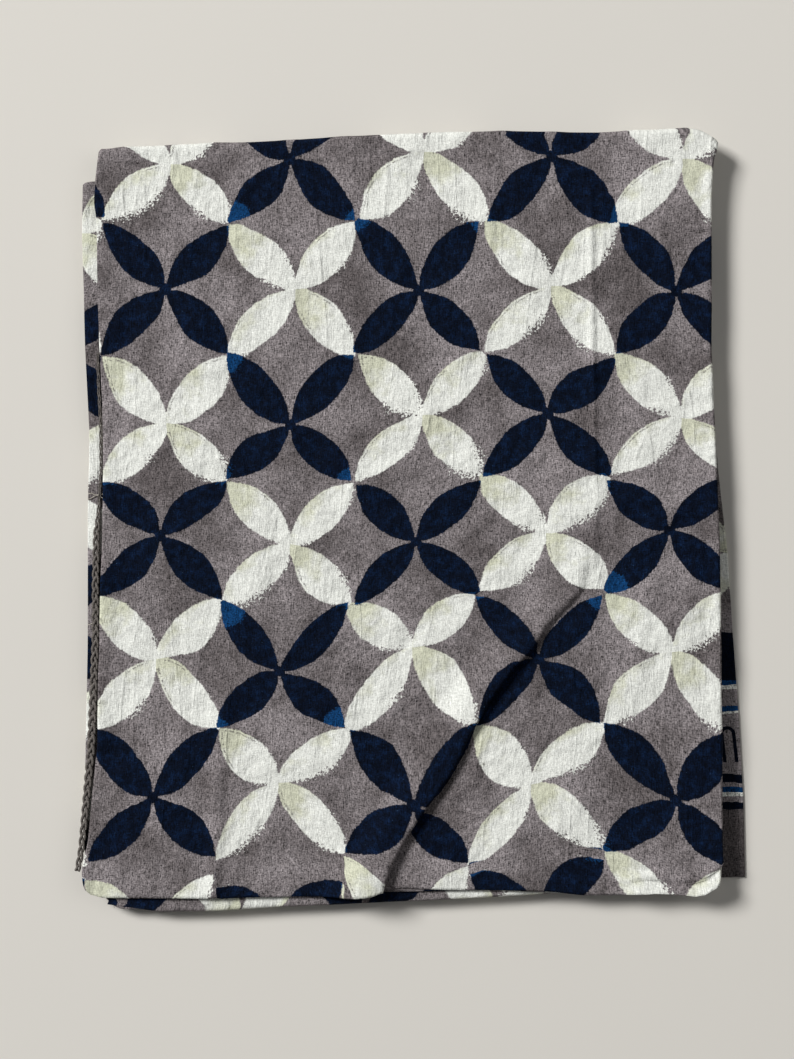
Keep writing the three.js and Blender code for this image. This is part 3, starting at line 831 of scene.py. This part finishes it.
        # In some places the paste was dry: the lower right edge of a petal breaks up into specks
        specks = add(tree, "ShaderNodeTexNoise", cloth, self.speck_scale, 4.0, 0.62, noise_dimensions="2D")
        speck = add(tree, "ShaderNodeMath", specks, 0.5, operation="SUBTRACT")
        dry = add(tree, "ShaderNodeTexNoise", cloth, self.dry_scale, 2.0, 0.6, noise_dimensions="2D")
        dry_patch = add(tree, "ShaderNodeMapRange", dry, 0.49, 0.64, 0.0, 0.28)
        dry_side = add(tree, "ShaderNodeMapRange", white.outputs["Flank"], 0.0, 0.12, 0.02, 1.0)
        dry_share = add(tree, "ShaderNodeMath", dry_patch, dry_side, 0.02, operation="MULTIPLY_ADD")
        broken = add(tree, "ShaderNodeMath", speck, dry_share, operation="MULTIPLY")
        white_depth = add(tree, "ShaderNodeMath", white.outputs["Depth"], broken, operation="ADD")
        white_mask = add(tree, "ShaderNodeMapRange", white_depth, -0.011, -0.002, 0.0, 1.0)
        white_mask = add(tree, "ShaderNodeMath", white_mask, stamped_part, operation="MULTIPLY")
        navy_broken = add(tree, "ShaderNodeMath", speck, 0.02, operation="MULTIPLY")
        navy_depth = add(tree, "ShaderNodeMath", navy.outputs["Depth"], navy_broken, operation="ADD")
        navy_mask = add(tree, "ShaderNodeMapRange", navy_depth, 0.001, 0.007, 0.0, 1.0)
        navy_mask = add(tree, "ShaderNodeMath", navy_mask, stamped_part, operation="MULTIPLY")
        # Heathered grey ground: uneven dye in broad patches and darker smears
        smear = add(tree, "ShaderNodeTexNoise", cloth, self.smear_scale, 6.0, 0.68, noise_dimensions="2D")
        smear_share = add(tree, "ShaderNodeMapRange", smear, 0.36, 0.64, 0.0, 1.0)
        dyes = linear(self.ground), linear(self.ground_dark)
        ground = add(tree, "ShaderNodeMix", smear_share, *dyes, data_type="RGBA")
        pale = self.paste_colour(tree, cloth, white_depth, white.outputs["Flank"], specks, dry)
        dark = self.dye_colour(tree, cloth, cells, white_mask, navy.outputs["Chance"], specks, speck)
        colour = add(tree, "ShaderNodeMix", white_mask, ground.outputs[2], pale.outputs[2], data_type="RGBA")
        colour = add(tree, "ShaderNodeMix", navy_mask, colour.outputs[2], dark.outputs[2], data_type="RGBA")
        border = self.border(tree, length.outputs[1], cloth)
        colour = add(tree, "ShaderNodeMix", field_part, border, colour.outputs[2], data_type="RGBA")
        # Slub yarns, about 0.5 mm apart: the ground shows them most and the thick white paste least
        across, along = self.yarn_scale
        warp_place = add(tree, "ShaderNodeVectorMath", cloth, (across, along, 0), operation="MULTIPLY")
        weft_place = add(tree, "ShaderNodeVectorMath", cloth, (along, across, 0), operation="MULTIPLY")
        warp = add(tree, "ShaderNodeTexNoise", warp_place, 1.0, 1.0, 0.6, noise_dimensions="2D")
        weft = add(tree, "ShaderNodeTexNoise", weft_place, 1.0, 1.0, 0.6, noise_dimensions="2D")
        weft = add(tree, "ShaderNodeMath", weft, 0.7, operation="MULTIPLY")
        yarn = add(tree, "ShaderNodeMath", warp, weft, operation="ADD")
        grain = add(tree, "ShaderNodeTexNoise", cloth, self.grain_scale, 1.0, 0.5, noise_dimensions="2D")
        paste = add(tree, "ShaderNodeMapRange", white_mask, 0.0, 1.0, 1.0, 0.3)
        shade = add(tree, "ShaderNodeMath", yarn, grain, operation="ADD")
        shade = add(tree, "ShaderNodeMath", shade, 1.35, operation="SUBTRACT")
        shade = add(tree, "ShaderNodeMath", shade, 1.8, operation="MULTIPLY")
        shade = add(tree, "ShaderNodeMath", shade, paste, 1.0, operation="MULTIPLY_ADD")
        colour = add(tree, "ShaderNodeVectorMath", colour.outputs[2], shade, operation="MULTIPLY")
        shader = add(tree, "ShaderNodeBsdfPrincipled", colour)
        tree.links.new(self.surface(tree, cloth, yarn).outputs[0], shader.inputs["Normal"])
        shader.inputs["Roughness"].default_value = self.roughness
        shader.inputs["Specular IOR Level"].default_value = self.specular
        add(tree, "ShaderNodeOutputMaterial", shader)
        return material

    def paste_colour(
        self, tree: bpy.types.NodeTree, cloth: bpy.types.Node, depth: bpy.types.Node, flank: bpy.types.NodeSocket,
        specks: bpy.types.Node, dry: bpy.types.Node,
    ) -> bpy.types.Node:
        """Build the colour of the white, whose paste lay thinner and greener towards the upper left of each petal.

        Args:
            tree: The material's tree.
            cloth: The cloth coordinates.
            depth: How deep a place lies inside a white petal.
            flank: How far it lies towards the lower right of the petal.
            specks: The fine noise that breaks up edges.
            dry: The broad noise of dry places.

        Returns:
            The node that gives the colour.
        """
        patch = add(tree, "ShaderNodeTexNoise", cloth, self.patch_scale, 3.0, 0.6, noise_dimensions="2D")
        thin = add(tree, "ShaderNodeMath", flank, -2.0, patch, operation="MULTIPLY_ADD")
        thin = add(tree, "ShaderNodeMapRange", thin, 0.56, 0.92, 0.0, 1.0)
        pale = add(tree, "ShaderNodeMix", thin, linear(self.white), linear(self.white_thin), data_type="RGBA")
        # A thin bare line inside the upper edge of some white petals, where the block's rim pressed the paste away
        rim = add(tree, "ShaderNodeMath", depth, 0.014, 0.006, operation="COMPARE")
        rim_patch = add(tree, "ShaderNodeMapRange", dry, 0.47, 0.42, 0.0, 1.0)
        rim_break = add(tree, "ShaderNodeMapRange", specks, 0.44, 0.56, 0.0, 1.0)
        rim = add(tree, "ShaderNodeMath", rim, rim_break, operation="MULTIPLY")
        rim = add(tree, "ShaderNodeMath", rim, rim_patch, operation="MULTIPLY")
        rim_side = add(tree, "ShaderNodeMapRange", flank, 0.0, -0.06, 0.0, 0.7)
        rim = add(tree, "ShaderNodeMath", rim, rim_side, operation="MULTIPLY")
        return add(tree, "ShaderNodeMix", rim, pale.outputs[2], linear(self.ground_dark), data_type="RGBA")

    def dye_colour(
        self, tree: bpy.types.NodeTree, cloth: bpy.types.Node, cells: bpy.types.Node, white_mask: bpy.types.Node,
        chance: bpy.types.NodeSocket, specks: bpy.types.Node, speck: bpy.types.Node,
    ) -> bpy.types.Node:
        """Build the colour of the navy: worn in places, flecked, and bluer where it lies over white.

        Args:
            tree: The material's tree.
            cloth: The cloth coordinates.
            cells: The place in motif widths.
            white_mask: The share of white under the navy.
            chance: A chance for each navy stamp.
            specks: The fine noise that breaks up edges.
            speck: The same noise about zero.

        Returns:
            The node that gives the colour.
        """
        worn = add(tree, "ShaderNodeTexNoise", cloth, self.worn_scale, 5.0, 0.65, noise_dimensions="2D")
        worn_share = add(tree, "ShaderNodeMapRange", worn, 0.45, 0.75, 0.0, 0.9)
        dark = add(tree, "ShaderNodeMix", worn_share, linear(self.navy), linear(self.navy_worn), data_type="RGBA")
        fleck_share = add(tree, "ShaderNodeMapRange", specks, 0.7, 0.82, 0.0, 0.4)
        dark = add(tree, "ShaderNodeMix", fleck_share, dark.outputs[2], linear(self.fleck), data_type="RGBA")
        # Where some stamps ran into each other at their tips, the navy over the white is a brighter blue
        corner = add(tree, "ShaderNodeVectorMath", cells, operation="FLOOR")
        from_corner = add(tree, "ShaderNodeVectorMath", cells, corner, operation="SUBTRACT")
        from_corner = add(tree, "ShaderNodeVectorMath", from_corner, (0.5, 0.5, 0), operation="DISTANCE")
        luck = add(tree, "ShaderNodeTexWhiteNoise", corner, noise_dimensions="2D")
        reach = add(tree, "ShaderNodeMapRange", luck.outputs["Value"], 0.4, 1.0, 0.0, 0.22)
        tip = add(tree, "ShaderNodeMath", reach, from_corner.outputs["Value"], operation="SUBTRACT")
        tip = add(tree, "ShaderNodeMath", speck, 0.07, tip, operation="MULTIPLY_ADD")
        tip = add(tree, "ShaderNodeMapRange", tip, -0.004, 0.006, 0.0, 0.85)
        chosen = add(tree, "ShaderNodeMath", chance, 0.5, operation="GREATER_THAN")
        tip = add(tree, "ShaderNodeMath", tip, chosen, operation="MULTIPLY")
        over = add(tree, "ShaderNodeMath", white_mask, 0.7, operation="MULTIPLY")
        over = add(tree, "ShaderNodeMath", over, tip, operation="MAXIMUM")
        return add(tree, "ShaderNodeMix", over, dark.outputs[2], linear(self.blue), data_type="RGBA")

    def surface(self, tree: bpy.types.NodeTree, cloth: bpy.types.Node, yarn: bpy.types.Node) -> bpy.types.Node:
        """Build the cloth's fine relief: its yarns, washed crinkle, pressed lines and soft dents.

        Args:
            tree: The material's tree.
            cloth: The cloth coordinates.
            yarn: How high the yarns stand.

        Returns:
            The last of the bump nodes.
        """
        bump = add(tree, "ShaderNodeBump", *self.yarn_bump, None, yarn)
        # Washed crinkle: fine ridges along the warp, 3 mm apart
        crinkle = add(tree, "ShaderNodeVectorMath", cloth, (*self.crinkle_scale, 0), operation="MULTIPLY")
        crinkle = add(tree, "ShaderNodeTexNoise", crinkle, 1.0, 3.0, 0.6, noise_dimensions="2D")
        bump = add(tree, "ShaderNodeBump", *self.crinkle_bump, None, crinkle, bump)
        # Fine pressed creases, long and nearly along the warp, where two dents meet in a line
        line = add(tree, "ShaderNodeVectorMath", cloth, (*self.line_scale, 0), operation="MULTIPLY")
        line = add(tree, "ShaderNodeTexNoise", line, 1.0, 1.0, 0.4, noise_dimensions="2D")
        line = add(tree, "ShaderNodeMath", line, 0.5, operation="SUBTRACT")
        line = add(tree, "ShaderNodeMath", line, operation="ABSOLUTE")
        line = add(tree, "ShaderNodeMapRange", line, 0.0, 0.03, 1.0, 0.0)
        bump = add(tree, "ShaderNodeBump", *self.line_bump, None, line, bump)
        dents = add(tree, "ShaderNodeTexNoise", cloth, self.dent_scale, 2.0, 0.5, noise_dimensions="2D")
        return add(tree, "ShaderNodeBump", *self.dent_bump, None, dents, bump)

    def last_row(self, tree: bpy.types.NodeTree, cells: bpy.types.Node) -> tuple[bpy.types.Node, bpy.types.Node]:
        """Set the stamps of the cloth's last row lower, each by its own amount, with bare ground above them.

        Args:
            tree: The material's tree.
            cells: The place in motif widths.

        Returns:
            The place with the last row moved, and the share that is 0 on the bare ground and 1 elsewhere.
        """
        parts = add(tree, "ShaderNodeSeparateXYZ", cells)
        past = add(tree, "ShaderNodeMath", parts.outputs[1], self.last_row_start, operation="SUBTRACT")
        columns = len(self.last_row_slips)
        share = add(tree, "ShaderNodeMapRange", parts.outputs[0], -0.5, columns - 0.5, 0.0, 1.0)
        ramp = add(tree, "ShaderNodeValToRGB", share)
        ramp.color_ramp.interpolation = "CONSTANT"
        stops = ramp.color_ramp.elements
        stops.remove(stops[1])
        for column, slip in enumerate(self.last_row_slips):
            stop = stops.new(column / columns) if column else stops[0]
            stop.color = (slip / MOTIF, slip / MOTIF, slip / MOTIF, 1)
        moved = add(tree, "ShaderNodeMath", past, ramp.outputs[0], operation="SUBTRACT")
        moved = add(tree, "ShaderNodeMath", moved, 0.0, operation="MAXIMUM")
        before = add(tree, "ShaderNodeMath", parts.outputs[1], self.last_row_start, operation="MINIMUM")
        row = add(tree, "ShaderNodeMath", before, moved, operation="ADD")
        begun = add(tree, "ShaderNodeMath", past, 0.0, operation="GREATER_THAN")
        bare = add(tree, "ShaderNodeMath", past, ramp.outputs[0], operation="LESS_THAN")
        bare = add(tree, "ShaderNodeMath", begun, bare, operation="MULTIPLY")
        printed = add(tree, "ShaderNodeMath", 1.0, bare, operation="SUBTRACT")
        return add(tree, "ShaderNodeCombineXYZ", parts.outputs[0], row), printed

    def border(
        self, tree: bpy.types.NodeTree, length: bpy.types.NodeSocket, cloth: bpy.types.Node
    ) -> bpy.types.NodeSocket:
        """Build the printed border's colour.

        Args:
            tree: The material's tree.
            length: Distance from the cloth's end, in metres.
            cloth: The cloth coordinates.

        Returns:
            The socket with the border's colour.
        """
        share = add(tree, "ShaderNodeMapRange", length, 0.0, self.border_length * MM, 0.0, 1.0)
        ramp = add(tree, "ShaderNodeValToRGB", share)
        ramp.color_ramp.interpolation = "CONSTANT"
        stops = ramp.color_ramp.elements
        stops.remove(stops[1])
        for place, tone in self.bands:
            stop = stops.new(place / self.border_length) if place else stops[0]
            stop.color = linear(getattr(self, tone))
        # A row of plain loops between the bands, open towards the cloth's end
        half = 2 / self.loop_spacing
        turned = add(tree, "ShaderNodeVectorMath", cloth, (self.loop_offset, 0, 0), operation="ADD")
        turned = add(tree, "ShaderNodeVectorMath", turned, (half, half, 0), operation="MULTIPLY")
        parts = add(tree, "ShaderNodeSeparateXYZ", turned)
        beat = add(tree, "ShaderNodeMath", parts.outputs[0], 1.0, operation="PINGPONG")
        above = add(tree, "ShaderNodeMath", parts.outputs[1], self.loop_head, operation="SUBTRACT")
        above = add(tree, "ShaderNodeMath", above, 0.0, operation="MAXIMUM")
        centre = add(tree, "ShaderNodeCombineXYZ", beat, above)
        away = add(tree, "ShaderNodeVectorMath", centre, operation="LENGTH")
        ring = add(tree, "ShaderNodeMath", away.outputs["Value"], self.loop_radius, self.loop_line, operation="COMPARE")
        started = add(tree, "ShaderNodeMath", parts.outputs[1], self.loop_foot, operation="GREATER_THAN")
        ring = add(tree, "ShaderNodeMath", ring, started, operation="MULTIPLY")
        return add(tree, "ShaderNodeMix", ring, ramp.outputs[0], linear(self.navy), data_type="RGBA").outputs[2]


@dataclass(frozen=True)
class GreyYarnFinish:
    """Dyed grey cotton yarn, two-ply twisted, matt with a slight fuzz."""

    pale: str = "#7f7973"
    dark: str = "#4c4744"
    fuzz_scale: float = 1400.0
    fuzz_bump: tuple[float, float] = (0.5, 0.0004)
    roughness: float = 0.9
    specular: float = 0.25

    def material(self) -> bpy.types.Material:
        """Build the yarn's material on its own coordinates."""
        material, tree = new_material("twisted grey cotton yarn")
        place = add(tree, "ShaderNodeTexCoord").outputs["Object"]
        fuzz = add(tree, "ShaderNodeTexNoise", place, self.fuzz_scale, 3.0, 0.6)
        tone = add(tree, "ShaderNodeMapRange", fuzz, 0.35, 0.7, 0.0, 1.0)
        colour = add(tree, "ShaderNodeMix", tone, linear(self.dark), linear(self.pale), data_type="RGBA")
        bump = add(tree, "ShaderNodeBump", *self.fuzz_bump, None, fuzz)
        shader = add(tree, "ShaderNodeBsdfPrincipled", colour.outputs[2])
        tree.links.new(bump.outputs[0], shader.inputs["Normal"])
        shader.inputs["Roughness"].default_value = self.roughness
        shader.inputs["Specular IOR Level"].default_value = self.specular
        add(tree, "ShaderNodeOutputMaterial", shader)
        return material


@dataclass
class PlaitedEdging:
    """The loose edging: a path along the left strip, with a three-strand plait laid on it."""

    y: tuple[float, ...] = (76, 61.2, 45.5, 22.9, 5, -6, -30, -53.6, -90, -103, -125.5, -148.1, -156, -158)
    x: tuple[float, ...] = (-140.3, -139.9, -139, -138.9, -139.9, -140.8, -141.2, -141.2, -142.6, -143.2, -145.3,
                            -147.6, -149, -149.6)
    half_width: tuple[float, ...] = (0.6, 0.8, 0.8, 0.7, 0.8, 1.7, 1.8, 1.9, 2.1, 2.1, 1.9, 1.6, 1.5, 1.4)
    base: float = 8.1
    seat: float = 0.55  # share of the half width that the path stands above the base
    points: int = 90
    pitch: float = 0.0145  # m along the edging for one full crossing
    strand_share: float = 0.36
    step: float = 0.0006
    flatness: float = 0.62

    def plait_tree(self) -> bpy.types.NodeTree:
        """Build the plait: three round strands that cross as they follow a path whose radius is its half width.

        Returns:
            The Geometry Nodes tree.
        """
        inputs = {"Geometry": "Geometry", "Pitch": "Float", "Strand Share": "Float", "Step": "Float",
                  "Finish": "Material"}
        tree = new_group("plait", "GeometryNodeTree", inputs, {"Geometry": "Geometry"})
        path, pitch, share, step, finish = add(tree, "NodeGroupInput").outputs[:5]
        fine = add(tree, "GeometryNodeResampleCurve", mode="LENGTH")
        tree.links.new(path, fine.inputs["Curve"])
        tree.links.new(step, fine.inputs["Length"])
        run = add(tree, "GeometryNodeSplineParameter").outputs["Length"]
        turns = add(tree, "ShaderNodeMath", run, pitch, operation="DIVIDE")
        angle = add(tree, "ShaderNodeMath", turns, 2 * math.pi, operation="MULTIPLY")
        wide = add(tree, "GeometryNodeInputRadius")
        strand = add(tree, "ShaderNodeMath", wide, share, operation="MULTIPLY")
        sway = add(tree, "ShaderNodeMath", wide, strand, operation="SUBTRACT")
        side = add(tree, "ShaderNodeVectorMath", add(tree, "GeometryNodeInputTangent"), (0, 0, 1),
                   operation="CROSS_PRODUCT")
        joined = add(tree, "GeometryNodeJoinGeometry")
        for number in range(3):
            phase = add(tree, "ShaderNodeMath", angle, 2 * math.pi * number / 3, operation="ADD")
            out = add(tree, "ShaderNodeMath", add(tree, "ShaderNodeMath", phase, operation="SINE"), sway,
                      operation="MULTIPLY")
            twice = add(tree, "ShaderNodeMath", phase, 2.0, operation="MULTIPLY")
            lift = add(tree, "ShaderNodeMath", add(tree, "ShaderNodeMath", twice, operation="SINE"), strand,
                       operation="MULTIPLY")
            lift = add(tree, "ShaderNodeMath", lift, self.flatness, operation="MULTIPLY")
            across = add(tree, "ShaderNodeVectorMath", side, operation="SCALE")
            tree.links.new(out.outputs[0], across.inputs["Scale"])
            offset = add(tree, "ShaderNodeVectorMath", across, add(tree, "ShaderNodeCombineXYZ", None, None, lift),
                         operation="ADD")
            moved = add(tree, "GeometryNodeSetPosition")
            tree.links.new(fine.outputs[0], moved.inputs["Geometry"])
            tree.links.new(offset.outputs[0], moved.inputs["Offset"])
            ring = add(tree, "GeometryNodeCurvePrimitiveCircle")
            ring.inputs["Resolution"].default_value = 8
            ring.inputs["Radius"].default_value = 1.0
            tube = add(tree, "GeometryNodeCurveToMesh")
            tree.links.new(moved.outputs[0], tube.inputs["Curve"])
            tree.links.new(strand.outputs[0], tube.inputs["Scale"])
            tree.links.new(ring.outputs[0], tube.inputs["Profile Curve"])
            tube.inputs["Fill Caps"].default_value = True
            tree.links.new(tube.outputs[0], joined.inputs[0])
        real = add(tree, "GeometryNodeRealizeInstances", joined)
        dressed = add(tree, "GeometryNodeSetMaterial", real)
        tree.links.new(finish, dressed.inputs["Material"])
        add(tree, "NodeGroupOutput", dressed)
        return tree

    def build(self, finish: bpy.types.Material) -> bpy.types.Object:
        """Lay the plait along its path and turn it into a plain mesh.

        Args:
            finish: The yarn's material.

        Returns:
            The edging's object.
        """
        places = np.linspace(self.y[0], self.y[-1], self.points)
        xs = np.interp(places, self.y[::-1], self.x[::-1])
        wide = np.interp(places, self.y[::-1], self.half_width[::-1])
        line = [(x, y, self.base + self.seat * half, half) for x, y, half in zip(xs, places, wide)]
        settings = {"Pitch": self.pitch, "Strand Share": self.strand_share, "Step": self.step, "Finish": finish}
        edging = laid_along("plaited_edging", [line], self.plait_tree(), settings)
        edging.data.shade_smooth()
        return edging


@dataclass
class TackingThreads:
    """Loose pale threads that still lie across the lower sections' edges, each given by its two ends in mm."""

    left: tuple[tuple[float, float], ...] = ((12.4, 10.2), (9.8, 12.6), (-45.2, -46.6))
    near: tuple[tuple[float, float], ...] = ((-134.0, -133.2), (-118.2, -119.4), (-40.6, -39.8), (11.4, 10.6),
                                             (41.0, 41.8))
    high: float = 8.25
    radius: float = 0.16

    def thread_tree(self) -> bpy.types.NodeTree:
        """Build the thread: a fine tube along each path."""
        inputs = {"Geometry": "Geometry", "Thread Radius": "Float", "Finish": "Material"}
        tree = new_group("tacking thread", "GeometryNodeTree", inputs, {"Geometry": "Geometry"})
        inlet = add(tree, "NodeGroupInput")
        ring = add(tree, "GeometryNodeCurvePrimitiveCircle")
        ring.inputs["Resolution"].default_value = 6
        tree.links.new(inlet.outputs[1], ring.inputs["Radius"])
        tube = add(tree, "GeometryNodeCurveToMesh")
        tree.links.new(inlet.outputs[0], tube.inputs["Curve"])
        tree.links.new(ring.outputs[0], tube.inputs["Profile Curve"])
        tube.inputs["Fill Caps"].default_value = True
        dressed = add(tree, "GeometryNodeSetMaterial", add(tree, "GeometryNodeRealizeInstances", tube))
        tree.links.new(inlet.outputs[2], dressed.inputs["Material"])
        add(tree, "NodeGroupOutput", dressed)
        return tree

    def paths(self) -> list[list[tuple[float, ...]]]:
        """Give each thread's points and radius, from under the top section out over the lower one's edge."""
        lines = []
        for inner, outer in self.left:
            edge = float(STRIP_LEFT.read(outer))
            middle = (inner + outer) / 2 + 0.5
            lines.append([(edge + 8.5, inner, self.high), (edge + 4, middle, self.high + 0.1),
                          (edge + 1.6, outer, self.high), (edge + 0.2, outer - 0.3, self.high - 0.5)])
        for inner, outer in self.near:
            edge = float(STRIP_NEAR.read(outer))
            lines.append([(inner, edge + 7, self.high), ((inner + outer) / 2 + 0.4, edge + 4, self.high + 0.1),
                          (outer, edge + 1.6, self.high), (outer + 0.3, edge + 0.2, self.high - 0.5)])
        return [[(*point, self.radius) for point in line] for line in lines]

    def build(self, finish: bpy.types.Material) -> bpy.types.Object:
        """Lay the threads and turn them into one plain mesh.

        Args:
            finish: The thread's material.

        Returns:
            The threads' object.
        """
        settings = {"Thread Radius": self.radius * MM, "Finish": finish}
        return laid_along("tacking_threads", self.paths(), self.thread_tree(), settings)


@dataclass
class Studio:
    """Plain pale floor, soft light from the left and a camera straight above."""

    height: float = 0.95
    centre: tuple[float, float] = (-0.0061, -0.0038)
    field_height: float = 0.4766
    cloth_level: float = 0.012
    floor_colour: str = "#d9d5cd"
    lamps: tuple[tuple[str, tuple[float, float, float], float, float], ...] = (
        ("window", (-3.5, 2.2, 3.8), 1.6, 362.0),
        ("fill", (1.1, 0.3, 1.5), 1.2, 4.0),
    )  # name, place and size in metres, power in watts
    surround: tuple[float, float, float, float] = (0.95, 0.97, 1.0, 1)
    surround_strength: float = 0.1

    def floor(self) -> None:
        """Make the floor."""
        bpy.ops.mesh.primitive_plane_add(size=6, location=(0, 0, -0.0001))
        floor = bpy.context.object
        floor.name = "floor"
        material = bpy.data.materials.new("pale studio floor")
        material.use_nodes = True
        shader = material.node_tree.nodes["Principled BSDF"]
        shader.inputs["Base Color"].default_value = linear(self.floor_colour)
        shader.inputs["Roughness"].default_value = 0.9
        floor.data.materials.append(material)

    def light(self) -> None:
        """Set one large soft light at the upper left, a weak fill, and an even surround."""
        for name, place, size, power in self.lamps:
            data = bpy.data.lights.new(name, "AREA")
            data.size = size
            data.energy = power
            lamp = bpy.data.objects.new(name, data)
            lamp.location = place
            lamp.rotation_mode = "QUATERNION"
            lamp.rotation_quaternion = (-Vector(place)).to_track_quat("-Z", "Y")
            bpy.context.scene.collection.objects.link(lamp)
        world = bpy.data.worlds.new("studio")
        world.use_nodes = True
        world.node_tree.nodes["Background"].inputs["Color"].default_value = self.surround
        world.node_tree.nodes["Background"].inputs["Strength"].default_value = self.surround_strength
        bpy.context.scene.world = world
        bpy.context.scene.view_settings.view_transform = "Standard"

    def camera(self) -> None:
        """Look straight down, with the photograph's field at the cloth's top."""
        data = bpy.data.cameras.new("camera")
        data.sensor_width = 36
        data.lens = 36 / self.field_height * (self.height - self.cloth_level)
        data.clip_start = 0.01
        camera = bpy.data.objects.new("camera", data)
        camera.location = (*self.centre, self.height)
        bpy.context.scene.collection.objects.link(camera)
        bpy.context.scene.camera = camera


def main() -> None:
    """Build the cloth, its edging, its threads and the studio, and attach each piece to the root body."""
    logging.basicConfig(level=logging.INFO)
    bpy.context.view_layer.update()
    studio = Studio()
    studio.floor()
    studio.light()
    studio.camera()
    cloth = FoldedCotton().build()
    cloth.data.materials.append(PrintedCottonFinish().material())
    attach(cloth, "root")
    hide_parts("folded_cloth")
    log.info("printed cotton: %d faces", len(cloth.data.polygons))
    edging = PlaitedEdging().build(GreyYarnFinish().material())
    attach(edging, "root")
    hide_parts("selvedge_braid")
    log.info("plaited edging: %d faces", len(edging.data.polygons))
    threads = TackingThreads().build(GreyYarnFinish("#cfc9bd", "#9d968b").material())
    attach(threads, "root")


if __name__ == "__main__":
    main()
